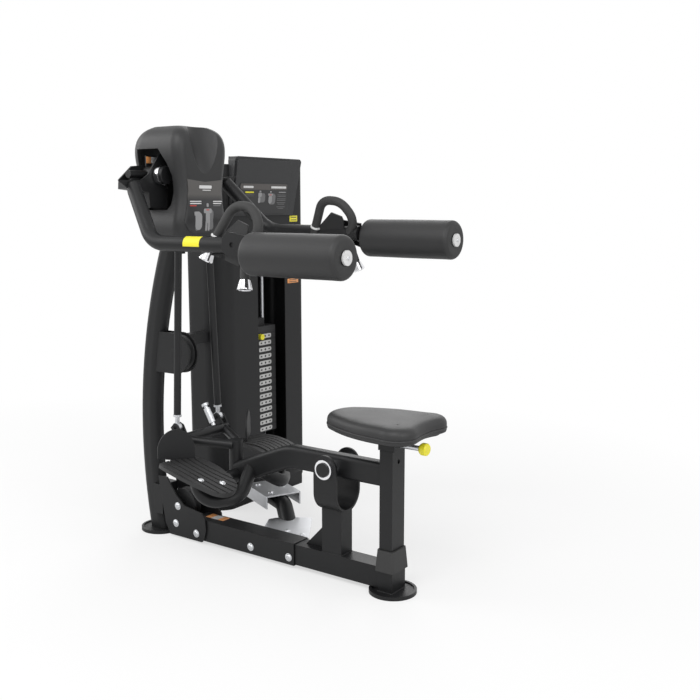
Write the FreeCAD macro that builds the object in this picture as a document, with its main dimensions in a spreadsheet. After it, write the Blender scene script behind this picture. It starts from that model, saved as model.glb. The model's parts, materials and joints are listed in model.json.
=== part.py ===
import FreeCAD, Part
import math
import os
import re
from types import SimpleNamespace

# Lateral raise machine. Millimetres, +Z up. The origin is the middle of the mast foot's underside.
# +X runs from the mast to the seat and +Y is the user's right, where the weight tower stands.
Vec = FreeCAD.Vector
X_AXIS, Y_AXIS, Z_AXIS = Vec(1, 0, 0), Vec(0, 1, 0), Vec(0, 0, 1)
LEFT, RIGHT = -1, 1

# Driving dimensions of the machine
SIZES = {
    "clearance": 0.3, "cut_over": 5, "tube_wall": 3,
    "foot_dia": 150, "foot_thick": 12, "foot_rim": 4, "foot_rim_wall": 8,
    "mast_bow_radius": 1960, "mast_bow_height": 357, "mast_drop": 182,
    "mast_depth": 85, "mast_width": 60, "mast_wall": 4,
    "rail_width": 76, "rail_depth": 76, "rail_start": 200, "sleeve_end": 656,
    "inner_rail_width": 66, "inner_rail_start": 420,
    "gusset_thick": 6, "gusset_end": 250, "gusset_lift": 7, "gusset_block_back": 2,
    "gusset_block_front": 46, "gusset_block_low": 70, "gusset_block_high": 180,
    "base_bolt_dia": 22, "base_bolt_head": 5, "bolt_hole_dia": 12,
    "base_pulley_at": 130, "base_pulley_up": 119, "base_pulley_dia": 116, "pulley_width": 30,
    "pulley_rim": 6, "pulley_bore": 20.2, "pulley_axle": 20,
    "mid_pulley_at": 112, "mid_pulley_up": 669, "mid_pulley_dia": 130,
    "cheek_thick": 6, "cheek_radius": 73,
    "cross_tube": 40, "cross_tube_up": 690,
    "pivot_at": 805, "pivot_up": 372, "upright_width": 60, "upright_length": 76,
    "web_length": 85, "web_rise": 90, "web_thick": 6,
    "yoke_half": 66, "yoke_thick": 8, "yoke_length": 88, "yoke_bottom": 225,
    "pivot_shaft_dia": 30, "pivot_fit": 0.05, "pivot_sleeve_dia": 52, "pivot_ring_dia": 63,
    "pivot_ring_wide": 9, "pivot_cap_dia": 46, "pivot_cap_wide": 5,
    "post_at": 1014, "front_post_length": 52, "front_post_width": 76, "front_post_top": 128,
    "boot_length": 60, "boot_width": 82, "boot_low": 70, "boot_top": 142, "boot_draft": 5,
    "beam_depth": 76, "beam_width": 50, "beam_bend_at": 622, "beam_low_at": 392,
    "beam_slope": 22.1, "beam_bend_radius": 160, "beam_round": 15,
    "seat_post_length": 46, "seat_post_width": 70, "seat_post_top": 456, "post_hole_dia": 14,
    "post_hole_up": 420,
    "carriage_depth": 44, "carriage_length": 58, "stem_play": 1, "stem_low": 270,
    "seat_plate_thick": 6, "seat_plate_inset": 16, "seat_nose": 788, "seat_back": 1146,
    "seat_valley": 11, "seat_half": 139, "seat_nose_half": 78, "seat_depth": 52,
    "knob_dia": 38, "knob_long": 26, "knob_rod_dia": 16, "knob_rod_long": 70, "knob_up": 472,
    "tread_back": 262, "tread_front": 512, "tread_back_up": 342, "tread_front_up": 270,
    "tread_inner": 116, "tread_outer": 250, "tread_bulge": 280, "tread_thick": 12,
    "rib_count": 7, "rib_groove": 5, "rib_rise": 4, "tread_dome": 22,
    "carrier_dia": 48, "carrier_half": 214, "cradle_dia": 46, "cradle_up": 234, "cradle_out": 214,
    "cradle_front": 488, "cradle_back": 345,
    "crossbar_dia": 38, "crossbar_at": 226, "crossbar_up": 392, "crossbar_half": 116,
    "strut_dia": 31, "strut_end_at": 376, "strut_end_up": 392,
    "shield_width": 124, "shield_rise": 110, "shield_thick": 6, "shield_turn": 35.2,
    "rod_at": 199, "rod_foot_spread": 102.5, "rod_foot_up": 430, "rod_dia": 25, "rod_lean": 0.046,
    "rod_end_rise": 45, "rod_end_dia": 15, "rod_over_hub": 45, "rod_eye_dia": 34, "rod_eye_wide": 16,
    "rod_pin_dia": 12, "ear_thick": 6,
    "hub_spread": 100, "hub_up": 1287, "hub_ring_dia": 65, "hub_ring_wide": 20,
    "hub_cap_dia": 58, "hub_cap_wide": 13, "hub_shaft_dia": 28, "hub_fit": 0.05,
    "housing_dia": 60, "housing_from": 92, "housing_to": 136,
    "bracket_back": 81, "bracket_front": 147, "bracket_thick": 6, "bracket_reach": 282, "bracket_back_reach": 224,
    "crank_radius": 64, "crank_angle": 126, "crank_pin_dia": 20, "crank_pin_end": 182,
    "far_arm_lift": 8,
    "arm_dia": 48.3, "arm_wall": 3, "arm_root_spread": 218, "arm_root_drop": 37,
    "arm_bend_at": 285, "arm_bend_spread": 270, "arm_up": 1071, "arm_bend_radius": 95,
    "arm_end": 695, "arm_end_spread": 248,
    "pad_spread": 286, "pad_up": 1050, "pad_start": 705, "pad_end": 1045, "pad_dia": 126,
    "pad_round": 14, "pad_bore": 25.1, "axle_dia": 25, "end_plate_thick": 8,
    "pad_cap_dia": 42, "pad_cap_thick": 6, "pad_screw_dia": 12, "pad_screw_rise": 2,
    "grip_dia": 30, "grip_tilt": 0.228, "grip_base_spread": 234, "grip_base_up": 1100,
    "grip_cap_long": 30, "grip_cap_dia": 46, "grip_cap_lip": 4, "cheek_plate_thick": 8,
    "cheek_plate_spread": 272, "cheek_plate_hole": 17, "grip_plate_thick": 6, "grip_hole_dia": 22,
    "casing_wall": 4, "casing_split": 123, "window_drop": 115, "window_rise": 86,
    "window_back": 64, "window_front": 214, "mast_gap": 1, "stay_dia": 12, "stay_drop": 47,
    "placard_thick": 1.5, "placard_low_drop": 191, "placard_high_drop": 14,
    "groove_low_at": 342, "groove_low_rise": 21, "groove_high_at": 306, "groove_high_rise": 133,
    "groove_radius": 84,
    "tower_back": -98, "tower_face": 80, "tower_near": 250, "tower_far": 764,
    "tower_low": 46, "tower_top": 1338, "tower_wall": 3, "tower_near_round": 82,
    "tower_round": 28, "bay_near": 469, "bay_far": 638, "bay_top": 1090,
    "console_low": 1146, "console_top": 1367, "console_near": 312, "console_far": 708, "console_far_low": 684,
    "console_rise": 30, "console_foot": 7, "console_lip": 18, "console_recess": 4,
    "stack_middle": 553, "plate_pitch": 27.5, "plate_thick": 26.5, "plate_width": 130,
    "plate_depth": 96, "plate_face": 42, "fixed_plates": 14, "lifted_plates": 2,
    "stack_floor": 262, "guide_dia": 19, "guide_spread": 42, "guide_at": -8, "guide_fit": 0.05,
    "head_block_rise": 30, "head_block_width": 50, "belt_width": 25, "belt_thick": 5,
    "pin_dia": 9.5, "pin_fit": 0.1, "pin_knob_dia": 24, "pin_knob_long": 16, "pin_depth": 40, "pin_aside": 33,
    "tower_base_rise": 56, "tower_base_inset": 6, "tower_beam": 50,
    "link_at": 328, "link_aside": 249, "link_turn": -25, "channel_length": 186,
    "channel_width": 138, "channel_up": 150, "channel_flange": 47, "channel_thick": 5,
    "link_tube_dia": 60, "link_low_up": 44, "link_bend_radius": 62, "lower_plate_up": 76,
    "lower_plate_thick": 4, "link_bolt_dia": 18, "link_bolt_rise": 5,
    "pull_pin_dia": 14, "pull_pin_long": 104, "pull_barrel_dia": 23, "pull_barrel_low": 30,
    "pull_barrel_long": 56, "pull_knob_dia": 26, "pull_knob_thick": 9,
    "pull_pin_aside": 60, "pull_pin_lean": 30,
}

doc = FreeCAD.newDocument("LateralRaiseMachine")
sheet = doc.addObject("Spreadsheet::Sheet", "Sheet")
for row, (alias, value) in enumerate(SIZES.items(), start=1):
    sheet.set("A%d" % row, alias.replace("_", " "))
    sheet.set("B%d" % row, str(value))
    sheet.setAlias("B%d" % row, alias)
doc.recompute()
d = SimpleNamespace(**{alias: float(sheet.get(alias)) for alias in SIZES})
mast_top, rod_top = d.hub_up - d.mast_drop, d.hub_up + d.rod_over_hub
arm_root_up, stay_up = d.hub_up - d.arm_root_drop, d.hub_up - d.stay_drop
nodes = []


def formula(text):
    """Point each word of a formula at its cell of the sheet."""
    return re.sub(r"[a-z]\w*", lambda word: "Sheet." + word.group(), text)


def bind(item, **formulas):
    for prop, text in formulas.items():
        item.setExpression(prop, formula(text))
    return item


def cylinder(name, dia, long, base, axis=Z_AXIS):
    item = doc.addObject("Part::Cylinder", name)
    bind(item, Radius="(%s) / 2" % dia, Height=long)
    item.Placement = FreeCAD.Placement(base, FreeCAD.Rotation(Z_AXIS, axis))
    return item


def box(name, long, wide, high, corner):
    item = doc.addObject("Part::Box", name)
    bind(item, Length=long, Width=wide, Height=high)
    item.Placement.Base = corner
    return item


def fuse(name, items):
    item = doc.addObject("Part::MultiFuse", name)
    item.Shapes = items
    return item


def cut(name, base, tool):
    item = doc.addObject("Part::Cut", name)
    item.Base, item.Tool = base, tool
    return item


def feature(name, shape):
    item = doc.addObject("Part::Feature", name)
    item.Shape = shape
    item.Placement = shape.Placement
    return item


def node(item, label):
    """Register a finished sub-part under the name of its file."""
    item.Label = label
    nodes.append(item)
    return item


def origin_plane(body, role):
    return [plane for plane in body.Origin.OriginFeatures if plane.Role == role][0]


def turned_body(name, points, axis_role="V_Axis"):
    """A turned piece: a half section of (radius, height) points about Z."""
    body = doc.addObject("PartDesign::Body", name)
    sketch = body.newObject("Sketcher::SketchObject", name + "Section")
    sketch.AttachmentSupport = [(origin_plane(body, "XZ_Plane"), "")]
    sketch.MapMode = "FlatFace"
    for first, last in zip(points, points[1:] + points[:1]):
        sketch.addGeometry(Part.LineSegment(Vec(*first, 0), Vec(*last, 0)), False)
    turn = body.newObject("PartDesign::Revolution", name + "Turn")
    turn.Profile = sketch
    turn.ReferenceAxis = (sketch, [axis_role])
    turn.Angle = 360
    doc.recompute()
    return body


def round_path(points, radius):
    """Straight runs joined by tangent arcs, each as near the asked radius as its runs allow."""
    edges = []
    here = points[0]
    for before, corner, after in zip(points, points[1:], points[2:]):
        back, ahead = before - corner, after - corner
        turn = math.pi - back.getAngle(ahead)
        room = min(back.Length, ahead.Length) * 0.45
        reach = min(radius * math.tan(turn / 2), room)
        real = reach / math.tan(turn / 2)
        back.normalize()
        ahead.normalize()
        inward = back + ahead
        inward.normalize()
        depth = real / math.cos(turn / 2) - real
        start, stop = corner + back * reach, corner + ahead * reach
        edges.append(Part.LineSegment(here, start).toShape())
        edges.append(Part.Arc(start, corner + inward * depth, stop).toShape())
        here = stop
    edges.append(Part.LineSegment(here, points[-1]).toShape())
    return Part.Wire(edges)


def swept(path, profile):
    return path.makePipeShell([profile], True, False)


def round_bar(path, radius):
    start = path.OrderedVertexes[0].Point
    ahead = path.OrderedEdges[0].tangentAt(path.OrderedEdges[0].FirstParameter)
    circle = Part.Wire([Part.makeCircle(radius, start, ahead)])
    return swept(path, circle)


def extruded(points, plane_point, thrust):
    """Extrude an outline of world points along a vector."""
    outline = Part.makePolygon([point + plane_point for point in points + points[:1]])
    return Part.Face(outline).extrude(thrust)


def rounded_outline(x_low, x_high, y_low, y_high, radii, height):
    """A rectangle in plan whose corners have their own radii, from the low corner round."""
    corners = [(x_low, y_low), (x_high, y_low), (x_high, y_high), (x_low, y_high)]
    inward = [(1, 1), (-1, 1), (-1, -1), (1, -1)]
    swap = [(0, 1), (-1, 0), (0, -1), (1, 0)]
    edges = []
    spots = []
    half = math.sqrt(0.5)
    for (x, y), (dx, dy), (ax, ay), r in zip(corners, inward, swap, radii):
        centre = Vec(x + dx * r, y + dy * r, height)
        first = Vec(x, y + dy * r, height) if ax == 0 else Vec(x + dx * r, y, height)
        last = Vec(x + dx * r, y, height) if ax == 0 else Vec(x, y + dy * r, height)
        middle = centre + Vec(-dx * half * r, -dy * half * r, 0)
        spots.append((first, middle, last))
    for index, (first, middle, last) in enumerate(spots):
        edges.append(Part.Arc(first, middle, last).toShape())
        following = spots[(index + 1) % len(spots)][0]
        edges.append(Part.LineSegment(last, following).toShape())
    return Part.Wire(edges)


# Feet, mast and base rail
def foot(name, label, at):
    wide, rim = d.foot_dia / 2, d.foot_rim_wall
    body = turned_body(name, [
        (0, 0), (wide, 0), (wide, d.foot_thick), (wide - rim, d.foot_thick),
        (wide - rim, d.foot_thick - d.foot_rim), (0, d.foot_thick - d.foot_rim)])
    body.Placement.Base = Vec(at, 0, 0)
    return node(body, label)


floor_top = d.foot_thick - d.foot_rim
mast_centre = math.sqrt(d.mast_bow_radius ** 2 - (d.mast_bow_height - floor_top) ** 2)


def mast_x(height):
    """The mast's centre line bows away from the seat on one large arc."""
    return mast_centre - math.sqrt(d.mast_bow_radius ** 2 - (height - d.mast_bow_height) ** 2)


def mast_oval(depth, width):
    flat = (depth - width) / 2
    half = width / 2
    arcs = [
        Part.Arc(Vec(flat, -half, floor_top), Vec(flat + half, 0, floor_top), Vec(flat, half, floor_top)),
        Part.LineSegment(Vec(flat, half, floor_top), Vec(-flat, half, floor_top)),
        Part.Arc(Vec(-flat, half, floor_top), Vec(-flat - half, 0, floor_top), Vec(-flat, -half, floor_top)),
        Part.LineSegment(Vec(-flat, -half, floor_top), Vec(flat, -half, floor_top))]
    return Part.Wire([arc.toShape() for arc in arcs])


def mast():
    middle = (floor_top + mast_top) / 2
    bow = Part.Arc(Vec(0, 0, floor_top), Vec(mast_x(middle), 0, middle), Vec(mast_x(mast_top), 0, mast_top))
    path = Part.Wire([bow.toShape()])
    outer = swept(path, mast_oval(d.mast_depth, d.mast_width))
    wall = 2 * d.mast_wall
    inner = swept(path, mast_oval(d.mast_depth - wall, d.mast_width - wall))
    return node(feature("Mast", outer.cut(inner)), "mast")


def mast_solid():
    return mast_grown(0)


rail_top = d.foot_thick + d.rail_depth


def rails():
    half, side = d.rail_width / 2, d.inner_rail_width / 2
    outer = box("RailOuter", "sleeve_end - rail_start", "rail_width", "rail_depth",
                Vec(d.rail_start, -half, d.foot_thick))
    hollow = box("RailHollow", "sleeve_end - rail_start + 2 * cut_over", "rail_width - 2 * tube_wall",
                 "rail_depth - 2 * tube_wall",
                 Vec(d.rail_start - d.cut_over, -half + d.tube_wall, d.foot_thick + d.tube_wall))
    across = Vec(0, -half - d.cut_over, 0)
    holes = [cylinder("RailHole%d" % index, "bolt_hole_dia", "rail_width + 2 * cut_over", Vec(x, 0, z) + across, Y_AXIS)
             for index, (x, z) in enumerate(base_bolt_spots(), start=1)]
    node(cut("RailSleeve", outer, fuse("RailCuts", [hollow] + holes)), "rail_sleeve")
    low = d.foot_thick + d.tube_wall + d.clearance
    bar = box("RailBar", "post_at - front_post_length / 2 - inner_rail_start", "inner_rail_width",
              "rail_depth - 2 * tube_wall - 2 * clearance", Vec(d.inner_rail_start, -side, low))
    bore = box("RailBore", "post_at", "inner_rail_width - 2 * tube_wall",
               "rail_depth - 4 * tube_wall - 2 * clearance",
               Vec(d.inner_rail_start - d.cut_over, -side + d.tube_wall, low + d.tube_wall))
    node(cut("RailFront", bar, bore), "rail_front")


def side_gussets():
    """Two plates from the mast to the rail, joined by a block that stands against the mast."""
    low, thick = d.gusset_lift, d.gusset_thick
    outline_shares = [
        (0.264, 0.152), (0.352, 0), (0.976, 0), (1.032, 0.064), (1.064, 0.2), (1.048, 0.352),
        (0.992, 0.424), (0.648, 0.476), (0.496, 0.596), (0.4, 0.708), (0.312, 0.844), (0.136, 0.836)]
    points = [(d.gusset_end * along, low + d.gusset_end * up) for along, up in outline_shares]
    half = d.rail_width / 2
    plates = []
    for side in (LEFT, RIGHT):
        near = half if side == RIGHT else -half - thick
        plates.append(extruded([Vec(x, near, z) for x, z in points], Vec(), Vec(0, thick, 0)))
    block = Part.makeBox(d.gusset_block_front - d.gusset_block_back, 2 * half, d.gusset_block_high - d.gusset_block_low,
                         Vec(d.gusset_block_back, -half, d.gusset_block_low))
    gussets = plates[0].fuse([plates[1], block]).cut(mast_solid())
    across = Vec(0, -half - 2 * thick, 0)
    holes = [(x, z, d.bolt_hole_dia) for x, z in base_bolt_spots()] + [(d.base_pulley_at, d.base_pulley_up, d.pulley_axle)]
    for x, z, dia in holes:
        gussets = gussets.cut(Part.makeCylinder(dia / 2, 2 * (half + 2 * thick), Vec(x, 0, z) + across, Y_AXIS))
    node(feature("SideGussets", gussets.cut(foot_rim_ring()).removeSplitter()), "side_gussets")


def foot_rim_ring():
    return Part.makeCylinder(d.foot_dia / 2 + d.clearance, d.foot_thick + d.clearance)


def base_bolt_spots():
    drop = d.base_pulley_up - d.rail_depth / 2 - d.foot_thick
    return [(d.base_pulley_at - 12, d.base_pulley_up - d.base_pulley_dia / 2 - 8 + 2),
            (d.rail_start + 19, drop / 2)]


def through_bolt(x, z, half, hole):
    head, rise = d.base_bolt_dia / 2, d.base_bolt_head
    shank = Part.makeCylinder(hole / 2, 2 * half, Vec(x, -half, z), Y_AXIS)
    near = Part.makeCylinder(head, rise, Vec(x, -half - rise, z), Y_AXIS)
    far = Part.makeCylinder(head, rise, Vec(x, half, z), Y_AXIS)
    near = near.makeFillet(rise / 3, [near.Edges[0]])
    return shank.fuse([near, far]).removeSplitter()


def base_bolts():
    half = d.rail_width / 2 + d.gusset_thick
    solids = [through_bolt(x, z, half, d.bolt_hole_dia) for x, z in base_bolt_spots()]
    solids.append(through_bolt(d.base_pulley_at, d.base_pulley_up, half, d.pulley_axle))
    rise = d.base_bolt_head
    for x in (d.inner_rail_start + 48, d.sleeve_end - 22):
        z = d.foot_thick + d.rail_depth / 3
        head = Part.makeCylinder(d.base_bolt_dia / 2, rise, Vec(x, -d.rail_width / 2 - rise, z), Y_AXIS)
        solids.append(head)
    node(feature("BaseBolts", Part.makeCompound(solids + link_bolts())), "base_bolts")


def pulley(name, label, at, up, dia):
    half, rim = dia / 2, d.pulley_rim
    wide = d.pulley_width / 2
    waist = half - 2 * rim
    body = turned_body(name, [
        (d.pulley_bore / 2, -wide), (half, -wide), (half, rim / 2 - wide), (waist, rim * 1.5 - wide),
        (waist, wide - rim * 1.5), (half, wide - rim / 2), (half, wide), (d.pulley_bore / 2, wide)])
    body.Placement = FreeCAD.Placement(Vec(at, 0, up), FreeCAD.Rotation(Z_AXIS, Y_AXIS))
    return node(body, label)


def mid_cheeks():
    gap = d.pulley_width / 2 + 2
    centre = Vec(d.mid_pulley_at, 0, d.mid_pulley_up)
    radius, back = d.cheek_radius, mast_x(d.mid_pulley_up)
    solids = []
    for side in (LEFT, RIGHT):
        low = gap if side == RIGHT else -gap - d.cheek_thick
        disc = Part.makeCylinder(radius, d.cheek_thick, Vec(centre.x, low, centre.z), Y_AXIS)
        web = Part.makeBox(centre.x - back, d.cheek_thick, 2 * radius, Vec(back, low, centre.z - radius))
        solids.append(disc.fuse(web).removeSplitter())
    reach = gap + d.cheek_thick
    axle = through_axle(centre, reach)
    plates = solids[0].fuse([solids[1], axle]).cut(mast_solid()).removeSplitter()
    node(feature("MastBrackets", Part.makeCompound([plates, cross_tube()])), "mast_brackets")


def through_axle(centre, reach):
    rise = d.base_bolt_head
    shank = Part.makeCylinder(d.pulley_axle / 2, 2 * reach, Vec(centre.x, -reach, centre.z), Y_AXIS)
    head = Part.makeCylinder(d.base_bolt_dia / 2 + rise, rise, Vec(centre.x, -reach - rise, centre.z), Y_AXIS)
    return shank.fuse(head)


def cross_tube():
    half = d.cross_tube / 2
    at = mast_x(d.cross_tube_up)
    outer = Part.makeBox(d.cross_tube, d.tower_near, d.cross_tube, Vec(at - half, 0, d.cross_tube_up - half))
    inner = Part.makeBox(d.cross_tube - 2 * d.tube_wall, d.tower_near, d.cross_tube - 2 * d.tube_wall,
                         Vec(at - half + d.tube_wall, 0, d.cross_tube_up - half + d.tube_wall))
    return outer.cut(inner).cut(mast_solid())


# Upright, yoke and front post
def upright():
    low = rail_top - d.tube_wall - d.clearance
    half = d.upright_width / 2
    start = d.pivot_at - d.upright_length / 2
    saddle = d.yoke_half
    outer = Part.makeBox(d.upright_length, d.upright_width, d.yoke_bottom + saddle - low, Vec(start, -half, low))
    wall = d.tube_wall
    inner = Part.makeBox(d.upright_length - 2 * wall, d.upright_width - 2 * wall, d.yoke_bottom + saddle - low,
                         Vec(start + wall, -half + wall, low))
    drum = Part.makeCylinder(d.yoke_half, d.upright_length * 2,
                             Vec(start - d.cut_over, 0, d.yoke_bottom + d.yoke_half), X_AXIS)
    above = Part.makeBox(d.upright_length * 2, d.upright_width * 2, saddle * 2,
                         Vec(start - d.cut_over, -d.upright_width, d.yoke_bottom + saddle))
    tube = outer.cut(inner).cut(drum).cut(above)
    web = extruded([Vec(start, -d.web_thick / 2, low), Vec(start - d.web_length, -d.web_thick / 2, low),
                    Vec(start, -d.web_thick / 2, low + d.web_rise)], Vec(), Vec(0, d.web_thick, 0))
    node(feature("Upright", tube.fuse(web).removeSplitter()), "upright")


def yoke():
    half, thick, length = d.yoke_half, d.yoke_thick, d.yoke_length
    start = Vec(d.pivot_at - length / 2, 0, 0)
    top = d.pivot_up + length / 2
    middle = d.yoke_bottom + half

    def hoop(radius):
        drum = Part.makeCylinder(radius, length, start + Vec(0, 0, middle), X_AXIS)
        legs = Part.makeBox(length, 2 * radius, top - middle, start + Vec(0, -radius, middle))
        return drum.fuse(legs)

    strap = hoop(half).cut(hoop(half - thick))
    nose = Part.makeCylinder(length / 2, 2 * half, Vec(d.pivot_at, -half, d.pivot_up), Y_AXIS)
    below = Part.makeBox(length, 2 * half, d.pivot_up - d.yoke_bottom,
                         Vec(d.pivot_at - length / 2, -half, d.yoke_bottom))
    strap = strap.common(nose.fuse(below))
    caps = []
    bore = Part.makeCylinder(d.pivot_shaft_dia / 2, 2 * half + 2 * d.cut_over,
                             Vec(d.pivot_at, -half - d.cut_over, d.pivot_up), Y_AXIS)
    wide, cap = d.pivot_ring_wide, d.pivot_cap_wide
    parts = [Part.makeCylinder(d.pivot_shaft_dia / 2, 2 * half, Vec(d.pivot_at, -half, d.pivot_up), Y_AXIS)]
    for side in (LEFT, RIGHT):
        face = Vec(d.pivot_at, side * half, d.pivot_up)
        parts.append(Part.makeCylinder(d.pivot_ring_dia / 2, wide, face, Y_AXIS * side))
        caps.append(Part.makeCylinder(d.pivot_cap_dia / 2, cap, face + Y_AXIS * side * wide, Y_AXIS * side))
    node(feature("PivotShaft", parts[0].fuse(parts[1:]).removeSplitter()), "pivot_shaft")
    node(feature("Yoke", Part.makeCompound([strap.cut(bore).removeSplitter()] + caps)), "yoke")


def front_post():
    long, wide = d.front_post_length, d.front_post_width
    low = floor_top
    outer = box("FrontPostOuter", "front_post_length", "front_post_width",
                "front_post_top - foot_thick + foot_rim", Vec(d.post_at - long / 2, -wide / 2, low))
    inner = box("FrontPostInner", "front_post_length - 2 * tube_wall", "front_post_width - 2 * tube_wall",
                "front_post_top",
                Vec(d.post_at - long / 2 + d.tube_wall, -wide / 2 + d.tube_wall, low))
    node(cut("FrontPost", outer, inner), "front_post")


def boot():
    long, wide = d.boot_length / 2, d.boot_width / 2
    low, top = d.boot_low + d.cut_over, d.boot_top
    sections = []
    for height, grow in ((low, d.boot_draft), (top, 0)):
        radii = [d.boot_draft * 2] * 4
        sections.append(rounded_outline(d.post_at - long - grow, d.post_at + long + grow,
                                        -wide - grow, wide + grow, radii, height))
    shell = Part.makeLoft(sections, True, False)
    socket = Part.makeBox(d.front_post_length, d.front_post_width, d.front_post_top,
                          Vec(d.post_at - d.front_post_length / 2, -d.front_post_width / 2, 0))
    past_rail = Part.makeBox(d.boot_length, d.inner_rail_width, rail_top,
                             Vec(d.post_at - d.front_post_length / 2 - d.boot_length, -d.inner_rail_width / 2, 0))
    node(feature("Boot", shell.cut(socket).cut(past_rail)), "boot")


# Rocking beam, treads and seat
beam_axis = d.pivot_up + 2
slope = math.tan(math.radians(d.beam_slope))
beam_low_up = beam_axis - (d.beam_bend_at - d.beam_low_at) * slope


def beam_profile(depth, width, corner):
    """A rounded rectangle square to the beam's level run, at the seat post."""
    flat = rounded_outline(-depth / 2, depth / 2, -width / 2, width / 2, [corner] * 4, 0)
    flat.Placement = FreeCAD.Placement(Vec(d.post_at - d.seat_post_length / 2, 0, beam_axis),
                                       FreeCAD.Rotation(Y_AXIS, 90))
    return flat


def beam_solid(inset):
    path = round_path([Vec(d.post_at - d.seat_post_length / 2, 0, beam_axis), Vec(d.beam_bend_at, 0, beam_axis),
                       Vec(d.beam_low_at, 0, beam_low_up)], d.beam_bend_radius)
    return swept(path, beam_profile(d.beam_depth - 2 * inset, d.beam_width - 2 * inset, d.beam_round - inset))


def beam():
    reach = d.yoke_half - d.yoke_thick - 2 * d.clearance
    centre = Vec(d.pivot_at, -reach, d.pivot_up)
    sleeve = Part.makeCylinder(d.pivot_sleeve_dia / 2, 2 * reach, centre, Y_AXIS)
    bore = Part.makeCylinder(d.pivot_shaft_dia / 2 + d.pivot_fit, 2 * reach, centre, Y_AXIS)
    tube = beam_solid(0).cut(beam_solid(d.tube_wall)).cut(sleeve)
    node(feature("Beam", tube.removeSplitter()), "beam")
    node(feature("PivotSleeve", sleeve.cut(bore)), "pivot_sleeve")


def carrier_solid():
    half = d.carrier_half
    return Part.makeCylinder(d.carrier_dia / 2, 2 * half, Vec(d.beam_low_at, -half, beam_low_up - 8), Y_AXIS)


tread_tilt = math.degrees(math.atan2(d.tread_back_up - d.tread_front_up, d.tread_front - d.tread_back))
tread_length = math.hypot(d.tread_back_up - d.tread_front_up, d.tread_front - d.tread_back)


def tread_outline(side):
    """The footboard in its own plane: u runs to the seat, v away from the middle."""
    inner, outer, bulge, long = d.tread_inner, d.tread_outer, d.tread_bulge, tread_length
    middle, round_off = (inner + outer) / 2, d.tread_thick
    points = [(0, inner + round_off), (0, outer), (long * 0.4, bulge), (long * 0.9, outer - round_off), (long, middle),
              (long * 0.93, inner + round_off), (long * 0.5, inner - round_off / 2)]
    spots = [Vec(u, side * v, 0) for u, v in points]
    arcs = [Part.LineSegment(spots[0], spots[1]), Part.Arc(spots[1], spots[2], spots[3]),
            Part.Arc(spots[3], spots[4], spots[5]), Part.Arc(spots[5], spots[6], spots[0])]
    return Part.Face(Part.Wire([arc.toShape() for arc in arcs]))


def tread_place():
    return FreeCAD.Placement(Vec(d.tread_back, 0, d.tread_back_up), FreeCAD.Rotation(Y_AXIS, tread_tilt))


def dome_slab(low, high):
    """A slab between two like arcs over the board's length, wide enough for both boards."""
    long, wide = tread_length, 4 * d.tread_bulge

    def arc(rise):
        return Part.Arc(Vec(0, -wide / 2, rise), Vec(long * 0.45, -wide / 2, d.tread_dome + rise),
                        Vec(long, -wide / 2, rise)).toShape()

    ends = [Part.LineSegment(Vec(x, -wide / 2, low), Vec(x, -wide / 2, high)).toShape() for x in (0, long)]
    section = Part.Face(Part.Wire(Part.__sortEdges__([arc(low), ends[1], arc(high), ends[0]])))
    return section.extrude(Vec(0, wide, 0))


def tread_solid(side):
    face = tread_outline(side)
    prism = face.extrude(Vec(0, 0, 4 * d.tread_dome))
    prism.translate(Vec(0, 0, -2 * d.tread_dome))
    board = prism.common(dome_slab(-d.tread_thick, 0))
    rib_room = prism.common(dome_slab(0, d.rib_rise))
    sagitta, half_chord = d.tread_bulge - d.tread_outer, tread_length / 2
    edge_radius = (half_chord ** 2 + sagitta ** 2) / (2 * sagitta)
    pitch = (d.tread_outer - d.tread_inner) / (d.rib_count - 0.5)
    centre = Vec(tread_length * 0.45, side * (d.tread_bulge - edge_radius), -2 * d.tread_dome)
    ribs = []
    for index in range(int(d.rib_count)):
        radius = edge_radius - pitch * (index + 0.3)
        ring = Part.makeCylinder(radius, 4 * d.tread_dome, centre)
        ring = ring.cut(Part.makeCylinder(radius - pitch + d.rib_groove, 4 * d.tread_dome, centre))
        ribs.append(ring.common(rib_room))
    shape = board.fuse(ribs).removeSplitter()
    shape.Placement = tread_place()
    return shape


def tread(side, label):
    node(feature("Tread" + label.title(), tread_solid(side)), "tread_" + label)


def tread_point(u, v, w):
    return tread_place().multVec(Vec(u, v, w))


def under_treads():
    """Room from the boards' undersides upward, cut from what carries them."""
    slabs = []
    for side in (LEFT, RIGHT):
        prism = tread_outline(side).extrude(Vec(0, 0, 4 * d.tread_dome))
        prism.translate(Vec(0, 0, -2 * d.tread_dome))
        slab = prism.common(dome_slab(-d.tread_thick, d.tread_dome * 4 - d.tread_thick))
        slab.Placement = tread_place()
        slabs.append(slab)
    return slabs[0].fuse(slabs[1])


def cradle_path(side):
    """A bent tube from the beam's underside out, down and back up under the footboard."""
    return round_path([Vec(d.cradle_front - 40, 0, beam_low_up + 30), Vec(d.cradle_front, side * d.cradle_out * 0.5, d.cradle_up),
                       Vec(d.cradle_front - 70, side * d.cradle_out, d.cradle_up - 6),
                       Vec(d.cradle_back, side * d.cradle_out * 0.84, d.tread_back_up - 8)], d.cradle_dia * 1.6)


def strut_solids():
    """Two struts run from the rods' ears to a post that stands on the carrier tube."""
    top = Vec(d.strut_end_at, 0, d.strut_end_up)
    solids = [Part.makeCylinder(d.carrier_dia / 2, top.z - beam_low_up, Vec(top.x, 0, beam_low_up), Z_AXIS)]
    for side in (LEFT, RIGHT):
        start = Vec(d.crossbar_at, side * d.rod_foot_spread, d.crossbar_up)
        stop = top + Vec(0, side * d.strut_dia / 2, -d.strut_dia / 2)
        solids.append(Part.makeCylinder(d.strut_dia / 2, (stop - start).Length, start, stop - start))
    return solids


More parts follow.
